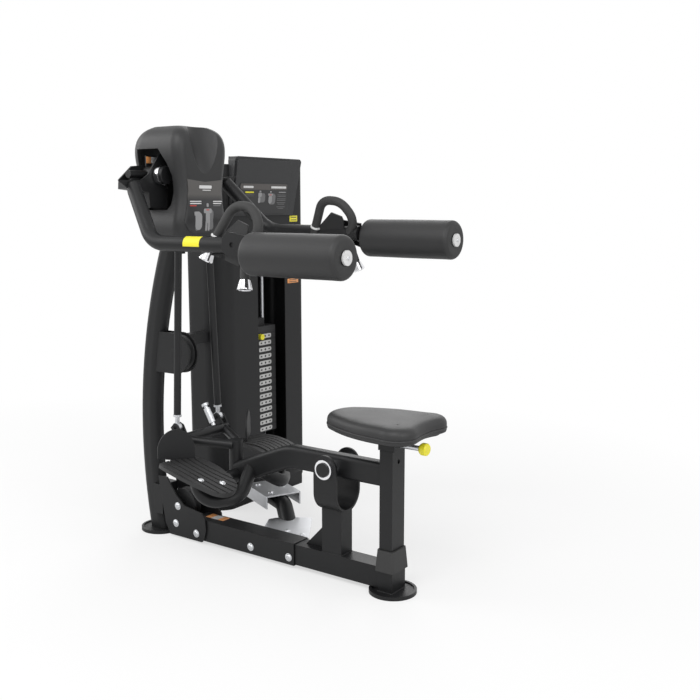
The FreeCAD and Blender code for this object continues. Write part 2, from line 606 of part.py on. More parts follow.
def tread_carrier_bar(gap):
    low = Vec(d.crossbar_at, -d.crossbar_half - gap, d.crossbar_up)
    return Part.makeCylinder(d.crossbar_dia / 2 + gap, 2 * d.crossbar_half + 2 * gap, low, Y_AXIS)


def tread_carrier():
    carrier = carrier_solid()
    solids = [round_bar(cradle_path(side), d.cradle_dia / 2) for side in (LEFT, RIGHT)]
    solids += strut_solids()
    solids.append(tread_carrier_bar(0))
    whole = carrier.fuse(solids).cut(under_treads()).cut(beam_solid(0))
    whole = max(whole.Solids, key=lambda solid: solid.Volume)
    for side in (LEFT, RIGHT):
        whole = whole.fuse(rod_ears(side))
    node(feature("TreadCarrier", whole.removeSplitter()), "tread_carrier")


def rod_ears(side):
    """Two ears on the crossbar and the pin that carries a push rod's foot."""
    reach = d.rod_eye_wide / 2 + 4 * d.clearance
    ears = []
    for out in (-1, 1):
        near = side * d.rod_foot_spread + (reach if out > 0 else -reach - d.ear_thick)
        low, high = d.crossbar_up, d.rod_foot_up
        half = d.rod_eye_dia / 2
        points = [Vec(d.crossbar_at - half, near, low), Vec(d.crossbar_at + half, near, low),
                  Vec(d.rod_at + half, near, high + half * 0.6), Vec(d.rod_at, near, high + half),
                  Vec(d.rod_at - half, near, high)]
        ears.append(extruded(points, Vec(), Vec(0, d.ear_thick, 0)))
    long = 2 * (reach + d.ear_thick) + 2 * d.ear_thick
    pin = Part.makeCylinder(d.rod_pin_dia / 2, long,
                            Vec(d.rod_at, side * d.rod_foot_spread - long / 2, d.rod_foot_up), Y_AXIS)
    return ears + [pin]


def toe_shields():
    solids = []
    rise, wide = d.shield_rise, d.shield_width
    for side in (LEFT, RIGHT):
        shoulder = rise * 0.36
        plate = Part.makeBox(wide, d.shield_thick, shoulder, Vec(-wide / 2, 0, 0))
        arch = Part.Ellipse(Vec(0, 0, shoulder + rise), Vec(wide / 2, 0, shoulder), Vec(0, 0, shoulder))
        if rise - shoulder > wide / 2:
            arch = Part.Ellipse(Vec(0, 0, rise), Vec(wide / 2, 0, shoulder), Vec(0, 0, shoulder))
        arch = Part.Face(Part.Wire([arch.toShape()])).extrude(Vec(0, d.shield_thick, 0))
        plate = plate.fuse(arch).removeSplitter()
        low = tread_point(wide * 0.1, side * (d.tread_inner + d.tread_outer) / 2, 0)
        turn = FreeCAD.Rotation(Z_AXIS, 90 + side * d.shield_turn)
        plate.Placement = FreeCAD.Placement(low, turn)
        solids.append(plate)
    above = [plate.cut(below_boards()).cut(tread_solid(side)) for plate, side in zip(solids, (LEFT, RIGHT))]
    node(feature("ToeShields", Part.makeCompound(above)), "toe_shields")


def below_boards():
    slab = Part.makeBox(2 * tread_length, 4 * d.tread_bulge, 2 * d.shield_rise,
                        Vec(-tread_length / 2, -2 * d.tread_bulge, d.rib_rise - 2 * d.shield_rise))
    slab.Placement = tread_place()
    return slab


def seat_post():
    long, wide, wall = d.seat_post_length, d.seat_post_width, d.tube_wall
    low = d.boot_top + d.clearance
    outer = box("SeatPostOuter", "seat_post_length", "seat_post_width",
                "seat_post_top - boot_top - clearance", Vec(d.post_at - long / 2, -wide / 2, low))
    inner = box("SeatPostInner", "seat_post_length - 2 * tube_wall", "seat_post_width - 2 * tube_wall",
                "seat_post_top", Vec(d.post_at - long / 2 + wall, -wide / 2 + wall, low + wall))
    hole = cylinder("SeatPostHole", "post_hole_dia", "seat_post_length",
                    Vec(d.post_at, 0, d.post_hole_up), X_AXIS)
    node(cut("SeatPost", outer, fuse("SeatPostCuts", [inner, hole])), "seat_post")


def seat_outline(height, inset):
    """The saddle in plan: a round nose to the mast, widest near the back, a hollow back edge."""
    nose, back, half, nose_half = d.seat_nose + inset, d.seat_back - inset, d.seat_half - inset, d.seat_nose_half - inset
    long = d.seat_back - d.seat_nose
    nose_end, widest = d.seat_nose + long * 0.13, d.seat_nose + long * 0.76
    horn = half * 0.5
    right = [(nose_end, nose_half), (d.seat_nose + long * 0.42, half * 0.87), (widest, half),
             (back - long * 0.04, half * 0.88), (back, horn)]
    spots = [Vec(x, y, height) for x, y in right]
    mirror = [Vec(spot.x, -spot.y, height) for spot in spots]
    arcs = [Part.Arc(mirror[0], Vec(nose, 0, height), spots[0]), Part.Arc(spots[0], spots[1], spots[2]),
            Part.Arc(spots[2], spots[3], spots[4]),
            Part.Arc(spots[4], Vec(back - d.seat_valley, 0, height), mirror[4]),
            Part.Arc(mirror[4], mirror[3], mirror[2]), Part.Arc(mirror[2], mirror[1], mirror[0])]
    return Part.Wire([arc.toShape() for arc in arcs])


seat_low = d.seat_post_top + d.clearance + d.carriage_depth + d.seat_plate_thick


def seat():
    crown_shares = [(0.0, 0.16), (0.12, 0.04), (0.38, 0.0), (0.66, 0.05), (0.86, 0.2), (0.96, 0.42), (1.0, 0.8)]
    sections = [seat_outline(seat_low + d.seat_depth * up, d.seat_depth * inset) for up, inset in crown_shares]
    node(feature("SeatCushion", Part.makeLoft(sections, True, False)), "seat_cushion")
    plate = Part.Face(seat_outline(seat_low - d.seat_plate_thick, d.seat_plate_inset))
    plate = feature("SeatPlate", plate.extrude(Vec(0, 0, d.seat_plate_thick)))
    long = d.carriage_length
    top = seat_low - d.seat_plate_thick
    block = box("CarriageBlock", "carriage_length", "seat_post_width", "carriage_depth",
                Vec(d.post_at - long / 2, -d.seat_post_width / 2, top - d.carriage_depth))
    wall, play = d.tube_wall, d.stem_play
    stem = box("CarriageStem", "seat_post_length - 2 * tube_wall - 2 * stem_play",
               "seat_post_width - 2 * tube_wall - 2 * stem_play", "seat_post_top - stem_low + 2 * clearance",
               Vec(d.post_at - d.seat_post_length / 2 + wall + play, -d.seat_post_width / 2 + wall + play, d.stem_low))
    node(fuse("SeatCarriage", [block, stem, plate]), "seat_carriage")
    rod = cylinder("KnobRod", "knob_rod_dia", "knob_rod_long - clearance",
                   Vec(d.post_at + long / 2 + d.clearance, 0, d.knob_up), X_AXIS)
    grip = turned_body("KnobGrip", [
        (0, 0), (d.knob_dia * 0.34, 0), (d.knob_dia * 0.42, d.knob_long * 0.12), (d.knob_dia / 2, d.knob_long * 0.3),
        (d.knob_dia / 2, d.knob_long * 0.86), (d.knob_dia * 0.42, d.knob_long), (0, d.knob_long)])
    grip.Placement = FreeCAD.Placement(Vec(d.post_at + long / 2 + d.knob_rod_long, 0, d.knob_up),
                                       FreeCAD.Rotation(Z_AXIS, X_AXIS))
    node(rod, "seat_knob_rod")
    node(grip, "seat_knob")


# Push rods and the silver pull pin
def rod_spread(height):
    return d.rod_foot_spread - d.rod_lean * (height - d.rod_foot_up)


def push_rod(side, label):
    foot_point = Vec(d.rod_at, side * d.rod_foot_spread, d.rod_foot_up)
    shoulder = d.rod_foot_up + d.rod_end_rise
    low = Vec(d.rod_at, side * rod_spread(shoulder), shoulder)
    top = Vec(d.rod_at, side * rod_spread(rod_top), rod_top)
    along = top - low
    tube = Part.makeCylinder(d.rod_dia / 2, along.Length, low, along)
    node(feature("PushRod" + label.title(), tube), "push_rod_" + label)
    eye = Part.makeCylinder(d.rod_eye_dia / 2, d.rod_eye_wide, foot_point - Y_AXIS * d.rod_eye_wide / 2, Y_AXIS)
    neck = Part.makeCylinder(d.rod_end_dia / 2, (low - foot_point).Length, foot_point, low - foot_point)
    bore = Part.makeCylinder(d.rod_pin_dia / 2 + d.pivot_fit, d.rod_eye_wide * 2, foot_point - Y_AXIS * d.rod_eye_wide,
                             Y_AXIS)
    nut = Part.makeCylinder(d.rod_dia * 0.56, d.rod_end_dia / 2, low - along / along.Length * d.rod_end_dia / 2, along)
    node(feature("RodEnd" + label.title(), eye.fuse([neck, nut]).cut(bore).removeSplitter()), "rod_end_" + label)


def pull_pin():
    """The silver release pin stands on the crossbar and leans back to the mast."""
    base = Vec(d.crossbar_at, d.pull_pin_aside, d.crossbar_up)
    lean = Vec(-math.sin(math.radians(d.pull_pin_lean)), 0, math.cos(math.radians(d.pull_pin_lean)))
    stem = Part.makeCylinder(d.pull_pin_dia / 2, d.pull_pin_long, base, lean)
    barrel = Part.makeCylinder(d.pull_barrel_dia / 2, d.pull_barrel_long, base + lean * d.pull_barrel_low, lean)
    knob = Part.makeCylinder(d.pull_knob_dia / 2, d.pull_knob_thick,
                             base + lean * (d.pull_pin_long - d.pull_knob_thick), lean)
    pin = stem.fuse([barrel, knob]).cut(tread_carrier_bar(d.clearance)).removeSplitter()
    node(feature("PullPin", pin), "pull_pin")


# Arms. Each is drawn on the left and mirrored; the right one rests a little higher.
def arm_place(shape, side):
    if side == LEFT:
        return shape
    turned = shape.mirror(Vec(), Y_AXIS)
    turned.rotate(Vec(0, d.hub_spread, d.hub_up), X_AXIS, d.far_arm_lift)
    return turned


def spot(x, spread, up):
    return Vec(x, -spread, up)


def bracket_plate(points, start):
    corners = [spot(start, spread, up) for spread, up in points]
    return extruded(corners, Vec(), Vec(d.bracket_thick, 0, 0))


def arm_bracket():
    """Two plates and a floor: a scoop that is open outwards, with a block below for the crank pin."""
    front_shares = [
        (-0.42, 0.72), (-0.1, 0.74), (0.04, 0.62), (0.22, 0.38), (0.52, 0), (0.82, -0.17), (1.82, -0.19),
        (1.4, -0.46), (0.5, -0.56), (0.46, -1.08), (-0.3, -1.08), (-0.36, 0.04), (-0.53, 0.46)]
    back_shares = [
        (-0.2, 0.36), (0.67, 0.29), (1.24, -0.17), (1.06, -0.45), (0.44, -0.56), (-0.2, -0.5)]
    floor_shares = [
        (0.4, -0.56), (1.4, -0.46), (1.82, -0.19), (1.78, -0.14), (1.36, -0.4), (0.4, -0.5)]
    unit, up = d.hub_spread, d.hub_up
    front, back, floor = ([(unit + unit * out, up + unit * rise) for out, rise in shares]
                          for shares in (front_shares, back_shares, floor_shares))
    plates = bracket_plate(front, d.bracket_front - d.bracket_thick)
    plates = plates.fuse(bracket_plate(back, d.bracket_back))
    inner = d.bracket_back + d.bracket_thick
    deep = d.bracket_front - d.bracket_thick - inner
    floor = extruded([spot(inner, spread, z) for spread, z in floor], Vec(), Vec(deep, 0, 0))
    middle = inner + deep / 2
    roller = Part.makeCylinder(d.arm_dia * 0.27, unit * 0.74, spot(middle, unit * 1.34, up + unit * 0.02), -Y_AXIS)
    web = Part.makeBox(d.bracket_thick * 2, unit * 0.5, unit * 0.62,
                       spot(middle - d.bracket_thick, unit * 2, up - unit * 0.5))
    lug = Part.makeBox(deep + 2 * d.bracket_thick, unit * 0.76, unit * 0.54, spot(d.bracket_back, unit * 1.46, up - unit * 1.08))
    plates = plates.fuse([floor, roller, web, lug])
    short, reach = d.bracket_back_reach, d.bracket_reach
    slant = [spot(d.bracket_back, short, 0), spot(d.bracket_front, reach - d.bracket_thick / 2, 0),
             spot(d.bracket_front, 2 * reach, 0), spot(d.bracket_back, 2 * reach, 0)]
    plates = plates.cut(extruded(slant, Vec(), Vec(0, 0, 2 * up)))
    bore = Part.makeCylinder(d.hub_shaft_dia / 2, 3 * deep, spot(d.bracket_back - deep, unit, up), X_AXIS)
    return plates.cut(bore)


def crank_spot(x):
    turn = math.radians(d.crank_angle)
    return spot(x, d.hub_spread + d.crank_radius * math.cos(turn), d.hub_up + d.crank_radius * math.sin(turn))


def hub_parts():
    start = d.bracket_back - d.hub_ring_wide / 2
    shaft = Part.makeCylinder(d.hub_shaft_dia / 2, d.bracket_front + 3 - start, spot(start, d.hub_spread, d.hub_up), X_AXIS)
    ring = Part.makeCylinder(d.hub_ring_dia / 2, d.hub_ring_wide, spot(d.bracket_front + 3, d.hub_spread, d.hub_up), X_AXIS)
    crank = Part.makeCylinder(d.crank_pin_dia / 2, d.crank_pin_end - d.bracket_front, crank_spot(d.bracket_front), X_AXIS)
    cap = Part.makeCylinder(d.hub_cap_dia / 2, d.hub_cap_wide,
                            spot(d.bracket_front + 3 + d.hub_ring_wide, d.hub_spread, d.hub_up), X_AXIS)
    cap = cap.makeFillet(d.hub_cap_wide / 4, [cap.Edges[0]])
    return shaft.fuse(ring).removeSplitter(), crank, cap


def arm_path():
    return round_path([spot(d.bracket_front, d.arm_root_spread, arm_root_up),
                       spot(d.arm_bend_at, d.arm_bend_spread, d.arm_up),
                       spot(d.arm_end, d.arm_end_spread, d.arm_up)], d.arm_bend_radius)


def arm_tube_solid(radius):
    bar = round_bar(arm_path(), radius)
    behind = Part.makeBox(d.arm_dia * 2, d.arm_dia * 4, d.arm_dia * 4,
                          spot(d.bracket_front - d.arm_dia * 2, d.arm_root_spread + d.arm_dia * 2,
                               arm_root_up - d.arm_dia * 2))
    beyond = Part.makeBox(d.arm_dia * 2, d.arm_dia * 4, d.arm_dia * 4,
                          spot(d.arm_end, d.arm_end_spread + d.arm_dia * 2, d.arm_up - d.arm_dia * 2))
    return bar.cut(behind).cut(beyond)


def grip_spread(up):
    """The handle's plane leans inboard towards its top."""
    return d.grip_base_spread - d.grip_tilt * (up - d.grip_base_up)


def arm_share(along, rise):
    """A place beside the arm tube, in shares of its straight run."""
    run = d.arm_end - d.arm_bend_at
    return d.arm_bend_at + run * along, d.arm_up + run * rise


def grip_spot(x, up):
    return spot(x, grip_spread(up), up)


def grip_points():
    corner_shares = [
        (0.541, -0.049), (0.6, 0.073), (0.722, 0.288), (0.907, 0.273), (1.005, 0.122), (0.893, -0.054),
        (0.922, -0.244)]
    return [grip_spot(*arm_share(along, rise)) for along, rise in corner_shares]


def grip_path():
    return round_path(grip_points(), d.grip_dia * 2)


def grip():
    bar = round_bar(grip_path(), d.grip_dia / 2)
    return bar.cut(arm_tube_solid(d.arm_dia / 2)).cut(pad_carrier()).cut(cheek_plate())


def grip_caps():
    points = grip_points()
    neck, wide, lip = d.grip_dia / 2 + 1, d.grip_cap_dia / 2, d.grip_cap_lip
    welded = arm_tube_solid(d.arm_dia / 2).fuse([grip_plate(), cheek_plate()])
    caps = []
    for end, inner in ((points[0], points[1]), (points[-1], points[-2])):
        out = end - inner
        out.normalize()
        flare = Part.makeCone(neck, wide, d.grip_cap_long - lip, end, out)
        rim = Part.makeCylinder(wide, lip, end + out * (d.grip_cap_long - lip), out)
        dish = Part.makeCylinder(wide - lip, lip / 2, end + out * (d.grip_cap_long - lip / 2), out)
        cap = flare.fuse(rim).removeSplitter().cut(dish).cut(welded)
        caps.append(max(cap.Solids, key=lambda solid: solid.Volume))
    return Part.makeCompound(caps)


def grip_plate():
    corner_shares = [
        (0.58, 0.022), (0.785, 0.18), (0.883, 0.146), (0.893, 0.107), (0.851, -0.151), (0.695, -0.107),
        (0.541, -0.071)]
    points = [grip_spot(*arm_share(along, rise)) for along, rise in corner_shares]
    normal = (points[1] - points[0]).cross(points[3] - points[0])
    normal.normalize()
    middle = normal * (d.grip_plate_thick / 2)
    plate = extruded([point - middle for point in points], Vec(), normal * d.grip_plate_thick)
    centre = grip_spot(*arm_share(0.68, -0.093))
    hole = Part.makeCylinder(d.grip_hole_dia / 2, d.arm_dia * 2, centre - normal * d.arm_dia, normal)
    plate = plate.cut(hole).cut(arm_tube_solid(d.arm_dia / 2))
    return plate.cut(round_bar(grip_path(), d.grip_dia / 2))


def cheek_plate():
    """A second plate on the outer face of the arm tube, below the handle."""
    corner_shares = [
        (0.741, 0.054), (0.737, -0.034), (0.771, -0.063), (0.985, -0.132), (0.985, 0.073), (0.79, 0.102)]
    spread, thick = d.cheek_plate_spread, d.cheek_plate_thick
    corners = [arm_share(along, rise) for along, rise in corner_shares]
    plate = extruded([spot(x, spread, z) for x, z in corners], Vec(), Vec(0, -thick, 0))
    x, z = arm_share(0.837, 0.007)
    hole = Part.makeCylinder(d.cheek_plate_hole / 2, thick / 2, spot(x, spread + thick, z), Y_AXIS)
    return plate.cut(hole).cut(arm_tube_solid(d.arm_dia / 2))


def pad_carrier():
    start = spot(d.arm_end, d.arm_end_spread, d.arm_up)
    centre = spot(d.arm_end, d.pad_spread, d.pad_up)
    thick = d.end_plate_thick
    big = Part.makeCylinder(d.arm_dia / 2 + 2, thick, start, X_AXIS)
    small = Part.makeCylinder(d.axle_dia, thick, centre, X_AXIS)
    across = (centre - start).cross(X_AXIS)
    across.normalize()
    wide = across * d.axle_dia
    link = extruded([start + wide, centre + wide, centre - wide, start - wide], Vec(), Vec(thick, 0, 0))
    axle = Part.makeCylinder(d.axle_dia / 2, d.pad_end + d.clearance - d.arm_end - thick, centre + Vec(thick, 0, 0), X_AXIS)
    return big.fuse([small, link, axle]).removeSplitter()


def roller_pad():
    start = spot(d.pad_start, d.pad_spread, d.pad_up)
    long = d.pad_end - d.pad_start
    roll = Part.makeCylinder(d.pad_dia / 2, long, start, X_AXIS)
    ends = [edge for edge in roll.Edges if edge.Closed and len(edge.Vertexes) == 1 and
            abs(edge.BoundBox.XMax - edge.BoundBox.XMin) < d.clearance]
    roll = roll.makeFillet(d.pad_round, ends)
    return roll.cut(Part.makeCylinder(d.pad_bore / 2, long, start, X_AXIS))


def pad_cap():
    face = spot(d.pad_end + d.clearance, d.pad_spread, d.pad_up)
    disc = Part.makeCylinder(d.pad_cap_dia / 2, d.pad_cap_thick, face, X_AXIS)
    screw = Part.makeCylinder(d.pad_screw_dia / 2, d.pad_screw_rise, face + X_AXIS * d.pad_cap_thick, X_AXIS)
    return disc.fuse(screw)


def arm(side, label):
    shaft, crank, cap = hub_parts()
    bracket = arm_bracket()
    tube = arm_tube_solid(d.arm_dia / 2).cut(arm_tube_solid(d.arm_dia / 2 - d.arm_wall))
    pieces = [
        ("arm_bracket_", Part.makeCompound([bracket.fuse(crank).removeSplitter(), cap])), ("hub_shaft_", shaft),
        ("arm_tube_", Part.makeCompound([tube, grip_plate(), cheek_plate(), pad_carrier()])), ("grip_", grip()),
        ("grip_caps_", grip_caps()), ("roller_pad_", roller_pad()), ("pad_cap_", pad_cap())]
    for prefix, shape in pieces:
        name = "".join(word.title() for word in prefix.split("_")) + label.title()
        node(feature(name, arm_place(shape, side)), prefix + label)


# Head frame and casing
# The casing: height over the hub, back, front and half width, in shares of the hub spread
casing_shares = [
    (-2.04, 0.52, 2.5, 1.14), (-1.67, 0.45, 2.55, 1.2), (-1.21, 0.37, 2.57, 1.12),
    (-0.72, 0.29, 2.57, 1.04), (-0.27, 0.22, 2.58, 1.05), (0.23, 0.16, 2.59, 1.13),
    (0.79, 0.14, 2.6, 1.22), (1.18, 0.24, 2.57, 1.17), (1.45, 0.46, 2.44, 1), (1.61, 0.78, 2.18, 0.74)]


def casing_loft(inset, low_cut, top_cut):
    sections = []
    for row in casing_shares:
        rise, back, front, half = (share * d.hub_spread for share in row)
        level = d.hub_up + rise - top_cut * (rise > d.window_rise)
        level += low_cut if row is casing_shares[0] else 0
        round_back, round_front = (half - inset) * 0.55, (half - inset) * 0.3
        radii = [round_back, round_front, round_front, round_back]
        sections.append(rounded_outline(back + inset, front - inset, inset - half, half - inset, radii, level))
    return Part.makeLoft(sections, True, False)


def crown_groove(grow):
    """The round hollow in the front of the crown, deeper towards the top."""
    low = Vec(d.groove_low_at, 0, d.hub_up + d.groove_low_rise)
    high = Vec(d.groove_high_at, 0, d.hub_up + d.groove_high_rise)
    along = high - low
    return Part.makeCylinder(d.groove_radius + grow, 4 * along.Length, low - along, along)


def mast_grown(gap):
    middle = (floor_top + mast_top) / 2
    bow = Part.Arc(Vec(0, 0, floor_top), Vec(mast_x(middle), 0, middle), Vec(mast_x(mast_top), 0, mast_top))
    return swept(Part.Wire([bow.toShape()]), mast_oval(d.mast_depth + 2 * gap, d.mast_width + 2 * gap))


def head():
    wall = d.casing_wall
    outer = casing_loft(0, 0, 0).cut(crown_groove(0))
    inner = casing_loft(wall, -wall, wall).cut(crown_groove(wall))
    shell = outer.cut(inner)
    back, front, low, high = d.window_back, d.window_front, d.hub_up - d.window_drop, d.hub_up + d.window_rise
    corners = [(back, high), (front - 48, high), (front - 16, high - 46), (front, high - 88), (front, low + 60),
               (front - 10, low + 16), (front - 26, low), (back, low)]
    window = extruded([Vec(x, -2 * d.hub_spread, z) for x, z in corners], Vec(), Vec(0, 4 * d.hub_spread, 0))
    shell = shell.cut(window).cut(mast_grown(d.mast_gap))
    big = 4 * d.hub_up
    rear_room = Part.makeBox(big, big, big, Vec(d.casing_split - big, -big / 2, 0))
    front_shell, rear_shell = shell.cut(rear_room), shell.common(rear_room)
    node(feature("CasingFront", front_shell), "casing_front")
    node(feature("CasingRear", rear_shell), "casing_rear")
    at = (d.housing_from + d.housing_to) / 2
    deep = d.housing_to - d.housing_from
    low = mast_top - d.mast_depth
    post = Part.makeBox(deep, d.mast_width * 0.7, d.hub_up + d.housing_dia / 2 - low,
                        Vec(d.housing_from, -d.mast_width * 0.35, low))
    bar = Part.makeBox(deep, 2 * d.hub_spread, d.housing_dia * 0.6,
                       Vec(d.housing_from, -d.hub_spread, d.hub_up - d.housing_dia * 0.3))
    hubs, bores = [], []
    for side in (LEFT, RIGHT):
        centre = Vec(d.housing_from, side * d.hub_spread, d.hub_up)
        hubs.append(Part.makeCylinder(d.housing_dia / 2, deep, centre, X_AXIS))
        bores.append(Part.makeCylinder(d.hub_shaft_dia / 2 + d.hub_fit, deep, centre, X_AXIS))
    stay = Part.makeCylinder(d.stay_dia / 2, 4 * d.hub_spread, Vec(at - 2 * d.hub_spread, 0, stay_up), X_AXIS)
    stay = stay.common(inner)
    tag_plate = Part.makeBox(d.bracket_thick, 2.24 * d.hub_spread, 0.65 * d.hub_spread,
                             Vec(d.housing_from, -1.12 * d.hub_spread, d.hub_up))
    frame = post.fuse([bar, stay, tag_plate] + hubs)
    for bore in bores:
        frame = frame.cut(bore)
    frame = frame.cut(mast_solid())
    node(feature("HeadFrame", frame.removeSplitter()), "head_frame")
    low, high = d.hub_up - d.placard_low_drop, d.hub_up - d.placard_high_drop
    share_pairs = [(0.82, 1), (0.79, 0.8), (0.84, 0.54), (0.98, 0.2), (0.8, 0.06), (0.5, 0)]
    half = [(d.hub_spread * out, low + (high - low) * up) for out, up in share_pairs]
    outline = [(0, high - d.casing_wall * 2)] + half + [(-y, z) for y, z in reversed(half)]
    placard = extruded([Vec(d.window_front, y, z) for y, z in outline], Vec(), Vec(4 * d.hub_spread, 0, 0))
    skin = casing_loft(-d.placard_thick, 0, -d.placard_thick).cut(outer)
    placard = skin.common(placard)
    node(feature("HeadPlacard", placard), "head_placard")


# Weight tower
def tower_prism(inset, low, high):
    near_round, other = d.tower_near_round - inset, d.tower_round - inset
    outline = rounded_outline(d.tower_back + inset, d.tower_face - inset, d.tower_near + inset, d.tower_far - inset,
                              [other, near_round, other, other], low)
    return Part.Face(outline).extrude(Vec(0, 0, high - low))


def shroud():
    wall = d.tower_wall
    shell = tower_prism(0, d.tower_low, d.tower_top).cut(tower_prism(wall, d.tower_low - wall, d.tower_top - wall))
    bay = Part.makeBox(d.tower_round * 2, d.bay_far - d.bay_near, d.bay_top - d.tower_low + wall,
                       Vec(d.tower_face - d.tower_round, d.bay_near, d.tower_low - wall))
    node(feature("Shroud", shell.cut(bay)), "shroud")


console_tilt = math.degrees(math.atan2(d.console_rise, d.console_top - d.console_low))


def console_slab(near, far, foot, head_inset, low, thick):
    """A slab parallel to the console's leaning face, its back 'low' in front of the face plane."""
    high = (d.console_top - d.console_low) / math.cos(math.radians(console_tilt)) - foot - head_inset
    slab = Part.makeBox(thick, far - near, high, Vec(low, near, foot))
    upright = [edge for edge in slab.Edges if abs(edge.BoundBox.XLength - thick) < d.clearance]
    slab = slab.makeFillet(d.console_lip * 0.7, upright)
    slab.rotate(Vec(), Y_AXIS, console_tilt)
    slab.translate(Vec(d.tower_face + d.console_foot, 0, d.console_low))
    return slab


def console():
    face, low, top = d.tower_face, d.console_low, d.console_top
    foot_rise, lip, rise = d.console_foot, d.console_lip, d.console_recess
    near, far = d.console_near, d.console_far
    side = [Vec(face, near, low), Vec(face + foot_rise, near, low),
            Vec(face + foot_rise + d.console_rise, near, top), Vec(face, near, top)]
    body = extruded(side, Vec(), Vec(0, far - near, 0))
    ends = [edge for edge in body.Edges if edge.BoundBox.ZLength < d.clearance and
            edge.BoundBox.YLength < d.clearance and edge.BoundBox.ZMax > top - d.clearance]
    body = body.makeFillet(lip, ends)
    beyond = far + lip
    taper = [Vec(0, far, top), Vec(0, d.console_far_low, low), Vec(0, beyond, low), Vec(0, beyond, top)]
    body = body.cut(extruded(taper, Vec(), Vec(2 * (face + d.console_rise), 0, 0)))
    pad = console_slab(near + lip / 3, far - 4 * lip, lip / 2, lip / 2, -rise, 3 * rise)
    ridge = Part.makeBox(d.tower_wall * 5, far - near - 2 * lip, top - d.tower_top,
                         Vec(face - d.tower_wall * 5, near + lip, d.tower_top))
    node(feature("Console", body.fuse([pad, ridge]).removeSplitter()), "console")
    card = console_slab(near + 1.5 * lip, far - 4.7 * lip, lip / 2, 5.4 * lip, 2 * rise, d.placard_thick)
    node(feature("ConsolePlacard", card), "console_placard")


def guide_spots():
    return [Vec(d.guide_at, d.stack_middle + side * d.guide_spread, 0) for side in (LEFT, RIGHT)]


def plate(level):
    low = d.stack_floor + d.plate_pitch * level
    slab = Part.makeBox(d.plate_depth, d.plate_width, d.plate_thick,
                        Vec(d.plate_face - d.plate_depth, d.stack_middle - d.plate_width / 2, low))
    for place in guide_spots():
        slab = slab.cut(Part.makeCylinder(d.guide_dia / 2 + d.guide_fit, d.plate_thick, place + Vec(0, 0, low)))
    return slab


def stack():
    fixed = int(d.fixed_plates)
    plates = [plate(level) for level in range(fixed)]
    spacer = d.plate_pitch - d.plate_thick
    for level in range(1, fixed):
        low = d.stack_floor + d.plate_pitch * level - spacer
        pad = Part.makeBox(d.plate_depth / 3, d.plate_width / 4, spacer,
                           Vec(d.plate_face - d.plate_depth * 0.45, d.stack_middle - d.plate_width / 8, low))
        plates[level] = plates[level].fuse(pad)
    node(feature("StackPlates", Part.makeCompound(plates)), "stack_plates")
    lifted = [plate(fixed + level) for level in range(int(d.lifted_plates))]
    joint = Part.makeBox(d.plate_depth / 3, d.plate_width / 4, spacer,
                         Vec(d.plate_face - d.plate_depth * 0.45, d.stack_middle - d.plate_width / 8,
                             d.stack_floor + d.plate_pitch * fixed + d.plate_thick))
    top = d.stack_floor + d.plate_pitch * (fixed + d.lifted_plates) - spacer
    block = Part.makeBox(d.head_block_width, d.head_block_width, d.head_block_rise,
                         Vec(d.guide_at - d.head_block_width / 2, d.stack_middle - d.head_block_width / 2, top))
    pin_up = d.stack_floor + d.plate_pitch * fixed + d.plate_thick / 2
    pin_spread = d.stack_middle - d.pin_aside
    rest = Part.makeBox(d.plate_depth / 3, d.plate_width / 4, spacer - d.clearance,
                        Vec(d.plate_face - d.plate_depth * 0.45, d.stack_middle - d.plate_width / 8,
                            d.stack_floor + d.plate_pitch * fixed - spacer + d.clearance))
    lifted_shape = lifted[0].fuse(lifted[1:] + [joint, rest, block])
    for place in guide_spots():
        lifted_shape = lifted_shape.cut(Part.makeCylinder(d.guide_dia / 2 + d.guide_fit, d.head_block_rise,
                                                          place + Vec(0, 0, top)))
    bore = Part.makeCylinder(d.pin_dia / 2 + d.pin_fit, d.pin_depth + d.clearance,
                             Vec(d.plate_face, pin_spread, pin_up), -X_AXIS)
    node(feature("LiftedPlates", lifted_shape.cut(bore).removeSplitter()), "lifted_plates")
    pin = cylinder("SelectorShank", "pin_dia", "pin_depth", Vec(d.plate_face - d.pin_depth, pin_spread, pin_up), X_AXIS)
    knob = cylinder("SelectorKnob", "pin_knob_dia", "pin_knob_long",
                    Vec(d.plate_face + d.clearance, pin_spread, pin_up), X_AXIS)
    neck = cylinder("SelectorNeck", "pin_dia", "2 * clearance", Vec(d.plate_face, pin_spread, pin_up), X_AXIS)
    node(fuse("SelectorPin", [pin, neck, knob]), "selector_pin")
    high = d.tower_top - d.tower_wall
    rods = [cylinder("GuideRod%d" % index, "guide_dia", "tower_top - tower_wall - tower_base_rise",
                     place + Vec(0, 0, d.tower_base_rise)) for index, place in enumerate(guide_spots(), 1)]
    node(fuse("GuideRods", rods), "guide_rods")
    belt = Part.makeBox(d.belt_thick, d.belt_width, high - top - d.head_block_rise,
                        Vec(d.guide_at - d.belt_thick / 2, d.stack_middle - d.belt_width / 2, top + d.head_block_rise))
    node(feature("LiftBelt", belt), "lift_belt")


